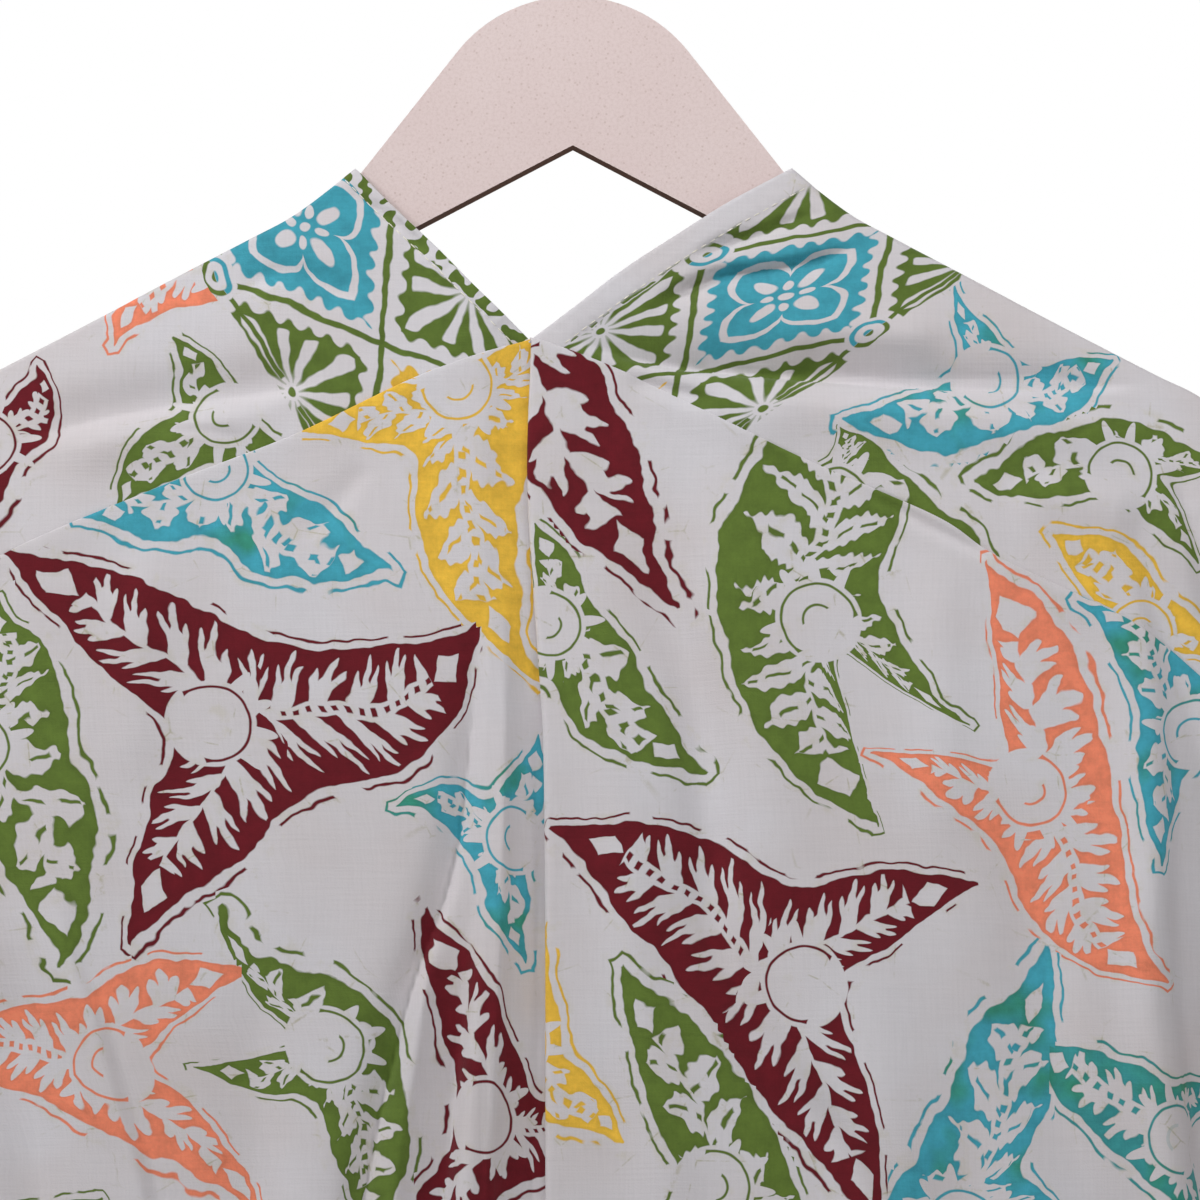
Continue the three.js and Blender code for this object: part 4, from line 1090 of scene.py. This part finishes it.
def drawTiles(tree, place):
    # a slanted border runs beside the neck: serrated squares with a flower in a row corner to corner,
    # and half palmettes opening towards the corners where they meet
    parts = add(tree, "SeparateXYZ", [place]).node
    cells, offs, wides, teeth, corners = [], [], [], [], []
    for value in parts.outputs[:2]:
        cell = add(tree, "Math", [value], operation="ROUND")
        off = add(tree, "Math", [value, cell], operation="SUBTRACT")
        phase = add(tree, "Math", [off, tile["teeth"]], operation="MULTIPLY")
        corner = add(tree, "Math", [value, 1.0], operation="FLOORED_MODULO")
        cells.append(cell)
        offs.append(off)
        wides.append(add(tree, "Math", [off], operation="ABSOLUTE"))
        teeth.append(add(tree, "Math", [phase], operation="COSINE"))
        corners.append(add(tree, "Math", [corner, 0.5], operation="SUBTRACT"))
    across = add(tree, "Math", parts.outputs[:2], operation="ADD")  # -1 and 1 on the border's two edges
    fromMiddle = add(tree, "Math", [across], operation="ABSOLUTE")
    isFan = add(tree, "Math", [add(tree, "Math", cells, operation="ADD")], operation="ABSOLUTE")
    isFan = add(tree, "Math", [isFan, 0.5], operation="GREATER_THAN")
    toEdge = add(tree, "Math", [0.5, joined(tree, *wides)], operation="SUBTRACT")
    toEdge = add(tree, "Math", [toEdge, tile["size"]], operation="MULTIPLY")
    teeth = add(tree, "Math", teeth, operation="ADD")
    serrated = add(tree, "Math", [teeth, tile["toothDepth"], toEdge], operation="MULTIPLY_ADD")
    away = fromCentre(tree, *wides, tile["size"])
    turn = add(tree, "Math", offs[::-1], operation="ARCTAN2")
    square = add(tree, "Math", [serrated, tile["margin"]], operation="SUBTRACT")
    bare = add(tree, "Math", [drawFlower(tree, away, turn), -1.0], operation="MULTIPLY")
    square = shared(tree, square, bare)
    fan = drawPalmette(tree, away, turn, toEdge, serrated, across)
    # the lines between tiles are thin and a little outside the squares
    frameLine = add(tree, "Math", [tile["line"], toEdge], operation="SUBTRACT")
    olive = add(tree, "Mix", {0: isFan, 2: frameLine, 3: joined(tree, fan, frameLine)})
    square = add(tree, "Mix", {0: isFan, 2: square, 3: -9.0})
    # small rings where the squares' outer corners meet the border's edge
    outer = add(tree, "Math", [fromMiddle, 0.5], operation="LESS_THAN")
    atCorner = fromCentre(tree, *corners, tile["size"])
    atCorner = add(tree, "Math", [outer, 99.0, atCorner], operation="MULTIPLY_ADD")
    clear = add(tree, "Math", [atCorner, tile["ring"] + 2.2], operation="SUBTRACT")
    dot = add(tree, "Math", [tile["ringDot"], atCorner], operation="SUBTRACT")
    ring = joined(tree, band(tree, atCorner, tile["ring"], tile["ringHalf"]), dot)
    inBorder = add(tree, "Math", [1.0, fromMiddle], operation="SUBTRACT")
    inBorder = add(tree, "Math", [inBorder, 30.0], operation="MULTIPLY")
    outBorder = add(tree, "Math", [inBorder, -1.0], operation="MULTIPLY")
    nearBorder = add(tree, "Math", [inBorder, 2.6], operation="ADD")
    olive = joined(tree, shared(tree, olive, nearBorder, clear), shared(tree, ring, outBorder))
    square = joined(tree, shared(tree, square, clear), shared(tree, ring, inBorder))
    odd = add(tree, "Math", [cells[0], 1.0], operation="PINGPONG")
    odd = add(tree, "Math", [odd, isFan], operation="SUBTRACT")
    return square, olive, across, odd


cotton = {"ground": "#DDDADF", "stained": "#D8D1D3", "crack": "#9B9560", "bleed": "#BDB681",
          "sway": 6.5, "shake": 1.05, "edge": 0.17, "thread": 0.9, "threadRun": (16, 20)}


def batikCotton(name, tiled=False):
    # plain-weave cotton, stamped with wax and dyed: matte, crisp dye edges, fine cracks of colour in
    # the white where the wax broke, dye a little uneven, thick threads just showing
    paint, tree = newPaint(name)
    flat, stamp, eye = [add(tree, "UVMap", uv_map=layer) for layer in ("cloth", "stamp", "eye")]
    dyeNode = add(tree, "Attribute", attribute_name="dye").node
    size, hand, kind = [add(tree, "Attribute", attribute_name=number).node.outputs["Fac"]
                        for number in ("stampSize", "stampHand", "leafKind")]

    # a hand-cut copper stamp isn't even: a slow sway and a fine one
    sways = []
    for width, detail, amount in ((16, 1.0, cotton["sway"]), (3.4, 0.0, cotton["shake"])):
        noise = add(tree, "TexNoise", {"Vector": flat, "Scale": 1 / width, "Detail": detail})
        around = add(tree, "VectorMath", [noise.node.outputs["Color"], (0.5, 0.5, 0.5)], operation="SUBTRACT")
        sways.append(add(tree, "VectorMath", {0: around, "Scale": amount}, operation="SCALE"))
    shift = add(tree, "VectorMath", sways, operation="ADD")
    place = add(tree, "VectorMath", [stamp, shift], operation="ADD")
    eyeShift = add(tree, "VectorMath", {0: shift, "Scale": 0.35}, operation="SCALE")
    eyePlace = add(tree, "VectorMath", [eye, eyeShift], operation="ADD")
    patches = add(tree, "TexNoise", {"Vector": flat, "Scale": 1 / 17, "Detail": 1.0})
    brokenness = add(tree, "Math", [patches, 16.0, -7.3], operation="MULTIPLY_ADD")
    ink, union = drawWing(tree, place, eyePlace, size, hand, kind, brokenness)
    dyeEdge = {"From Min": -cotton["edge"], "From Max": cotton["edge"]}
    amount = add(tree, "MapRange", {"Value": ink, **dyeEdge})

    # real threads lie about 0.3 mm apart, too fine to show; only thick ones are drawn, 0.9 mm apart
    slubs = []
    thread = 1 / cotton["thread"]
    for stretch in ((thread, 1 / cotton["threadRun"][0], 1), (1 / cotton["threadRun"][1], thread, 1)):
        threads = add(tree, "VectorMath", [flat, stretch], operation="MULTIPLY")
        slubs.append(add(tree, "TexNoise", {"Vector": threads, "Scale": 1.0, "Detail": 1.0}))
    weave = add(tree, "Math", slubs, operation="ADD")
    grain = add(tree, "TexNoise", {"Vector": flat, "Scale": 1 / 0.55, "Detail": 1.0})
    weave = add(tree, "Math", [grain, 0.8, weave], operation="MULTIPLY_ADD")
    # the colour follows the bump's relief, lighter on raised threads and darker between them: partly the
    # threads' own uneven tone, partly painted shade of the weave
    threadToneAndShade = add(tree, "MapRange", {"Value": weave, "From Min": 1.1, "From Max": 1.7,
                                   "To Min": 0.975, "To Max": 1.022})

    # dye is uneven, pools a little beside the wax, and some blues run to green
    mottle = add(tree, "TexNoise", {"Vector": flat, "Scale": 1 / 8, "Detail": 4.0, "Roughness": 0.7})
    depth = add(tree, "MapRange", {"Value": mottle, "From Min": 0.3, "From Max": 0.7,
                                   "To Min": 1.16, "To Max": 0.84})
    pool = add(tree, "MapRange", {"Value": ink, "From Min": 0.1, "From Max": 1.4, "To Min": 0.88})
    depth = add(tree, "Math", [depth, pool], operation="MULTIPLY")
    greening = add(tree, "TexNoise", {"Vector": flat, "Scale": 1 / 24, "Detail": 2.0})
    greening = add(tree, "MapRange", {"Value": greening, "From Min": 0.52, "From Max": 0.68, "To Max": 0.8})
    greening = add(tree, "Math", [greening, dyeNode.outputs["Alpha"]], operation="MULTIPLY")
    dyed = add(tree, "Mix", {0: greening, 6: dyeNode.outputs["Color"], 7: toLinear(dyes["leafGreen"])},
               data_type="RGBA").node.outputs[2]

    if tiled:
        lattice = add(tree, "UVMap", uv_map="lattice")
        bent = add(tree, "VectorMath", {0: shift, "Scale": 0.6 / tile["size"]}, operation="SCALE")
        lattice = add(tree, "VectorMath", [lattice, bent], operation="ADD")
        square, olive, across, odd = drawTiles(tree, lattice)
        tileAmount = add(tree, "MapRange", {"Value": joined(tree, square, olive), **dyeEdge})
        isOlive = add(tree, "Math", [olive, square], operation="GREATER_THAN")
        tileDye = toLinear(dyes["turquoise"])
        for chosen, dye in ((odd, "yellow"), (isOlive, "olive")):
            tileDye = add(tree, "Mix", {0: chosen, 6: tileDye, 7: toLinear(dyes[dye])},
                          data_type="RGBA").node.outputs[2]
        inBorder = add(tree, "Math", [across, 1.12], operation="LESS_THAN")
        # beyond the border the print runs on in short slanted strokes
        strokes = add(tree, "TexNoise", {"Vector": flat, "Scale": 1 / 6.5, "Detail": 0.0})
        strokes = add(tree, "MapRange", {"Value": strokes, "From Min": 0.52, "From Max": 0.54})
        beyond = add(tree, "Math", [across, -1.1], operation="LESS_THAN")
        # the strip turned outward along the right neck edge shows the cloth's paler back
        strip = add(tree, "SeparateXYZ", [add(tree, "UVMap", uv_map="strip")])
        stripSway = add(tree, "Math", [patches, 0.3, -0.15], operation="MULTIPLY_ADD")
        strip = add(tree, "Math", [strip, stripSway], operation="ADD")
        printed = add(tree, "MapRange", {"Value": strip, "From Min": 0.96, "From Max": 1.1})
        # the left neck edge rolls, and short strokes of the print show on the roll
        roll = awayFrom(tree, strip, leftStripFrom + 0.2)
        onRoll = add(tree, "Math", [roll, 0.34], operation="LESS_THAN")
        bits = add(tree, "TexNoise", {"Vector": flat, "Scale": 1 / 4.2, "Detail": 0.0})
        bits = add(tree, "MapRange", {"Value": bits, "From Min": 0.5, "From Max": 0.53})
        amount = add(tree, "Mix", {0: inBorder, 2: amount, 3: tileAmount})
        amount = add(tree, "Mix", {0: beyond, 2: amount, 3: strokes})
        amount = add(tree, "Math", [amount, printed], operation="MULTIPLY")
        amount = add(tree, "Mix", {0: onRoll, 2: amount, 3: bits})
        for chosen, dye in ((inBorder, tileDye), (onRoll, toLinear(dyes["olive"]))):
            dyed = add(tree, "Mix", {0: chosen, 6: dyed, 7: dye}, data_type="RGBA").node.outputs[2]
    dyed = add(tree, "VectorMath", {0: dyed, "Scale": depth}, operation="SCALE")

    # ground: waxed white with slow stains, olive hairlines where the wax broke near a stamp, faint bleeding
    stain = add(tree, "TexNoise", {"Vector": flat, "Scale": 1 / 70, "Detail": 3.0})
    stain = add(tree, "MapRange", {"Value": stain, "From Min": 0.38, "From Max": 0.68})
    cracks = add(tree, "TexVoronoi", {"Vector": flat, "Scale": 1 / 26}, feature="DISTANCE_TO_EDGE")
    thin = add(tree, "MapRange", {"Value": cracks, "From Min": 0.014, "From Max": 0.003})
    near = add(tree, "MapRange", {"Value": union, "From Min": 14.0, "From Max": 2.0})
    where = add(tree, "MapRange", {"Value": mottle, "From Min": 0.5, "From Max": 0.62})
    for share in (near, where, 0.45):
        thin = add(tree, "Math", [thin, share], operation="MULTIPLY")
    bleed = add(tree, "MapRange", {"Value": ink, "From Min": -2.4, "From Max": 0.0, "To Max": 0.22})
    bleed = add(tree, "Math", [bleed, where], operation="MULTIPLY")
    ground = toLinear(cotton["ground"])
    for share, tint in ((stain, "stained"), (thin, "crack"), (bleed, "bleed")):
        ground = add(tree, "Mix", {0: share, 6: ground, 7: toLinear(cotton[tint])},
                     data_type="RGBA").node.outputs[2]
    colour = add(tree, "Mix", {0: amount, 6: ground, 7: dyed}, data_type="RGBA").node.outputs[2]
    colour = add(tree, "VectorMath", {0: colour, "Scale": threadToneAndShade}, operation="SCALE")
    bump = add(tree, "Bump", {"Height": weave, "Strength": 0.3, "Distance": 0.0003})
    surface = add(tree, "BsdfPrincipled", {"Base Color": colour, "Roughness": 0.88, "Sheen Weight": 0.1,
                                           "Sheen Roughness": 0.5, "Specular IOR Level": 0.25, "Normal": bump})
    add(tree, "OutputMaterial", [surface])
    return paint


pieces = {
    "yokeRight": finishCloth(makeYoke(1, "yokeRight"), 0, "yoke_right"),
    "yokeLeft": finishCloth(makeYoke(-1, "yokeLeft"), 0, "yoke_left"),
    "frontBodyRight": finishCloth(makeFrontRight(), -1, "front_body_right"),
    "frontBodyLeft": finishCloth(makeFrontLeft(), -1, "front_body_left"),
    "backBody": finishCloth(makeBack(), 1, "back_body"),
}
areas = {name: round(sum(face.area for face in piece.data.polygons), 4) for name, piece in pieces.items()}
print("cloth pieces hung, square metres", areas)

plainBatik = batikCotton("stampedBatikCotton")
tiledBatik = batikCotton("stampedBatikCottonWithTiles", tiled=True)
for seed, (name, piece) in enumerate(pieces.items()):
    placed = fillStamps(stamps[name], *extents[name], seed + 3, "back" not in name)
    printCloth(piece, placed, seed)
    piece.data.materials.append(tiledBatik if "yoke" in name else plainBatik)
    print(name, "printed with", len(placed), "stamps")


# neck stitching

# light and dark are the thread's painted highlight and painted shade, banded along its twist
thread = {"length": 2.9, "pitch": 3.75, "halfWidth": 0.26, "halfHeight": 0.14, "lift": 0.02,
          "light": "#FBF8EF", "dark": "#EAE3D2", "sidewaysFrom": 2}


def threadCotton():
    # three-ply sewing cotton: cream, with painted highlight and painted shade in bands along its twist, a bump
    # that follows the twist, and a soft shine
    paint, tree = newPaint("creamSewingCotton")
    place = add(tree, "TexCoord").node.outputs["Object"]
    twist = add(tree, "TexWave", {"Vector": place, "Scale": 900.0, "Distortion": 1.0}).node.outputs["Fac"]
    # painted highlight and painted shade: the twist's bands are coloured lighter and darker
    colour = add(tree, "Mix", {0: twist, 6: toLinear(thread["light"]), 7: toLinear(thread["dark"])},
                 data_type="RGBA").node.outputs[2]
    bump = add(tree, "Bump", {"Height": twist, "Strength": 0.4, "Distance": 0.0001})
    surface = add(tree, "BsdfPrincipled", {"Base Color": colour, "Roughness": 0.6, "Normal": bump})
    add(tree, "OutputMaterial", [surface])
    return paint


def sewNeck(side, name, inset):
    # running stitches hold the turned neck edge, from the point of the V over the shoulder to the back
    gridA, gridB = np.meshgrid(np.linspace(0, 0.14, 36), np.linspace(-0.985, 0.985, 900))
    points, width = yokeSurface(side, gridA, gridB)
    line = np.array([[np.interp(inset, at, row[:, k]) for k in range(3)] for at, row in zip(width, points)])
    run = np.concatenate([[0], np.cumsum(np.linalg.norm(np.diff(line, axis=0), axis=1))])
    size = Matrix.Diagonal((thread["length"] / 2, thread["halfWidth"], thread["halfHeight"], 1))
    bm = bmesh.new()
    for start in np.arange(2.0, run[-1] - thread["length"], thread["pitch"]):
        ends = [Vector([np.interp(at, run, line[:, k]) for k in range(3)])
                for at in (start, start + thread["length"])]
        middle, way = (ends[0] + ends[1]) / 2, (ends[1] - ends[0]).normalized()
        onTop = abs(middle.y) <= thread["sidewaysFrom"]
        outward = Vector((0, 0, 1)) if onTop else Vector((0, math.copysign(1, middle.y), 0))
        outward = (outward - outward.dot(way) * way).normalized()
        turn = Matrix((way, way.cross(outward), outward)).transposed().to_4x4()
        place = Matrix.Translation((middle + outward * thread["lift"]) * mm)
        bmesh.ops.create_uvsphere(bm, u_segments=6, v_segments=5, radius=1,
                                  matrix=place @ turn @ Matrix.Diagonal((mm, mm, mm, 1)) @ size)
    stitches = newObject(name, meshFrom(bm, name))
    shadeSmooth(stitches.data)
    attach(stitches, "root")
    return stitches


creamThread = threadCotton()
stitching = {}
for side, name, inset in ((1, "yokeRight", neckHem["right"]), (-1, "yokeLeft", neckHem["left"])):
    stitching[name] = sewNeck(side, name + "Stitches", inset)
    stitching[name].data.materials.append(creamThread)
print("neck stitched")


# hanger

board = {"halfThick": 3.25, "face": "#E6D1CF", "speck": "#CDB4AE", "pale": "#EDDCDA", "burnt": "#8A5C46",
         "char": "#4A2E21"}
wire = {"radius": 1.7, "arcCentre": -17.0, "arcRadius": 18.7, "arcFrom": -38, "arcTo": 200,
        "bright": "#CBCDCF", "dull": "#B2B5B8",
        "shank": [(0, -81), (0, -66), (0, -53), (1.2, -46), (5.0, -39)]}


def fibreboard():
    # thin fibreboard cut by laser: a smooth pinkish face full of fine fibre specks, its cut edge burnt brown
    paint, tree = newPaint("laserCutFibreboard")
    place = add(tree, "TexCoord").node.outputs["Object"]
    parts = add(tree, "SeparateXYZ", [place]).node
    depth = add(tree, "Math", [parts.outputs[1]], operation="ABSOLUTE")
    isCut = add(tree, "MapRange", {"Value": depth, "From Min": (board["halfThick"] - 0.12) * mm,
                                   "From Max": (board["halfThick"] - 0.04) * mm, "To Min": 1.0, "To Max": 0.0})
    fibres = add(tree, "TexNoise", {"Vector": place, "Scale": 900.0, "Detail": 4.0, "Roughness": 0.75})
    clouds = add(tree, "TexNoise", {"Vector": place, "Scale": 22.0, "Detail": 3.0})
    specks = add(tree, "TexVoronoi", {"Vector": place, "Scale": 420.0})
    dark = add(tree, "MapRange", {"Value": specks, "From Min": 0.22, "From Max": 0.10, "To Max": 0.6})
    fine = add(tree, "MapRange", {"Value": fibres, "From Min": 0.45, "From Max": 0.75, "To Max": 0.5})
    face = toLinear(board["face"])
    for share, tint in ((clouds, "pale"), (fine, "speck"), (dark, "speck")):
        face = add(tree, "Mix", {0: share, 6: face, 7: toLinear(board[tint])}, data_type="RGBA").node.outputs[2]
    edge = add(tree, "Mix", {0: fibres, 6: toLinear(board["burnt"]), 7: toLinear(board["char"])},
               data_type="RGBA").node.outputs[2]
    colour = add(tree, "Mix", {0: isCut, 6: face, 7: edge}, data_type="RGBA").node.outputs[2]
    bump = add(tree, "Bump", {"Height": fibres, "Strength": 0.15, "Distance": 0.0002})
    surface = add(tree, "BsdfPrincipled", {"Base Color": colour, "Roughness": 0.62, "Normal": bump})
    add(tree, "OutputMaterial", [surface])
    return paint


def zincWire():
    # bent steel wire, zinc plated: bright grey, a little dulled in patches
    paint, tree = newPaint("zincPlatedWire")
    place = add(tree, "TexCoord").node.outputs["Object"]
    dull = add(tree, "TexNoise", {"Vector": place, "Scale": 260.0, "Detail": 3.0})
    rough = add(tree, "MapRange", {"Value": dull, "From Min": 0.3, "From Max": 0.7,
                                   "To Min": 0.2, "To Max": 0.38})
    colour = add(tree, "Mix", {0: dull, 6: toLinear(wire["bright"]), 7: toLinear(wire["dull"])},
                 data_type="RGBA").node.outputs[2]
    surface = add(tree, "BsdfPrincipled", {"Base Color": colour, "Roughness": rough, "Metallic": 1.0})
    add(tree, "OutputMaterial", [surface])
    return paint


def bendHook():
    # the wire rises out of the board, leans to one side and turns over the rail
    points = list(wire["shank"])
    for turn in np.radians(np.linspace(wire["arcFrom"], wire["arcTo"], 28)):
        reach = wire["arcRadius"]
        points.append((reach * math.cos(turn), wire["arcCentre"] + reach * math.sin(turn)))
    curve = bpy.data.curves.new("hookWire", "CURVE")
    curve.dimensions = "3D"
    curve.bevel_depth = wire["radius"] * mm
    curve.bevel_resolution = 6
    curve.use_fill_caps = True
    spline = curve.splines.new("POLY")
    spline.points.add(len(points) - 1)
    for point, (x, z) in zip(spline.points, points):
        point.co = (x * mm, 0, z * mm, 1)
    bent = newObject("bentWire", curve)
    bpy.context.view_layer.update()
    hook = newObject("hangerHook", bpy.data.meshes.new_from_object(bent))
    bpy.data.objects.remove(bent)
    shadeSmooth(hook.data)
    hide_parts("hanger_hook")
    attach(hook, "root")
    return hook


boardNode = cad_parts["hanger_board"]
boardNode.data.materials.clear()
boardNode.data.materials.append(fibreboard())
bendHook().data.materials.append(zincWire())
print("hanger finished")
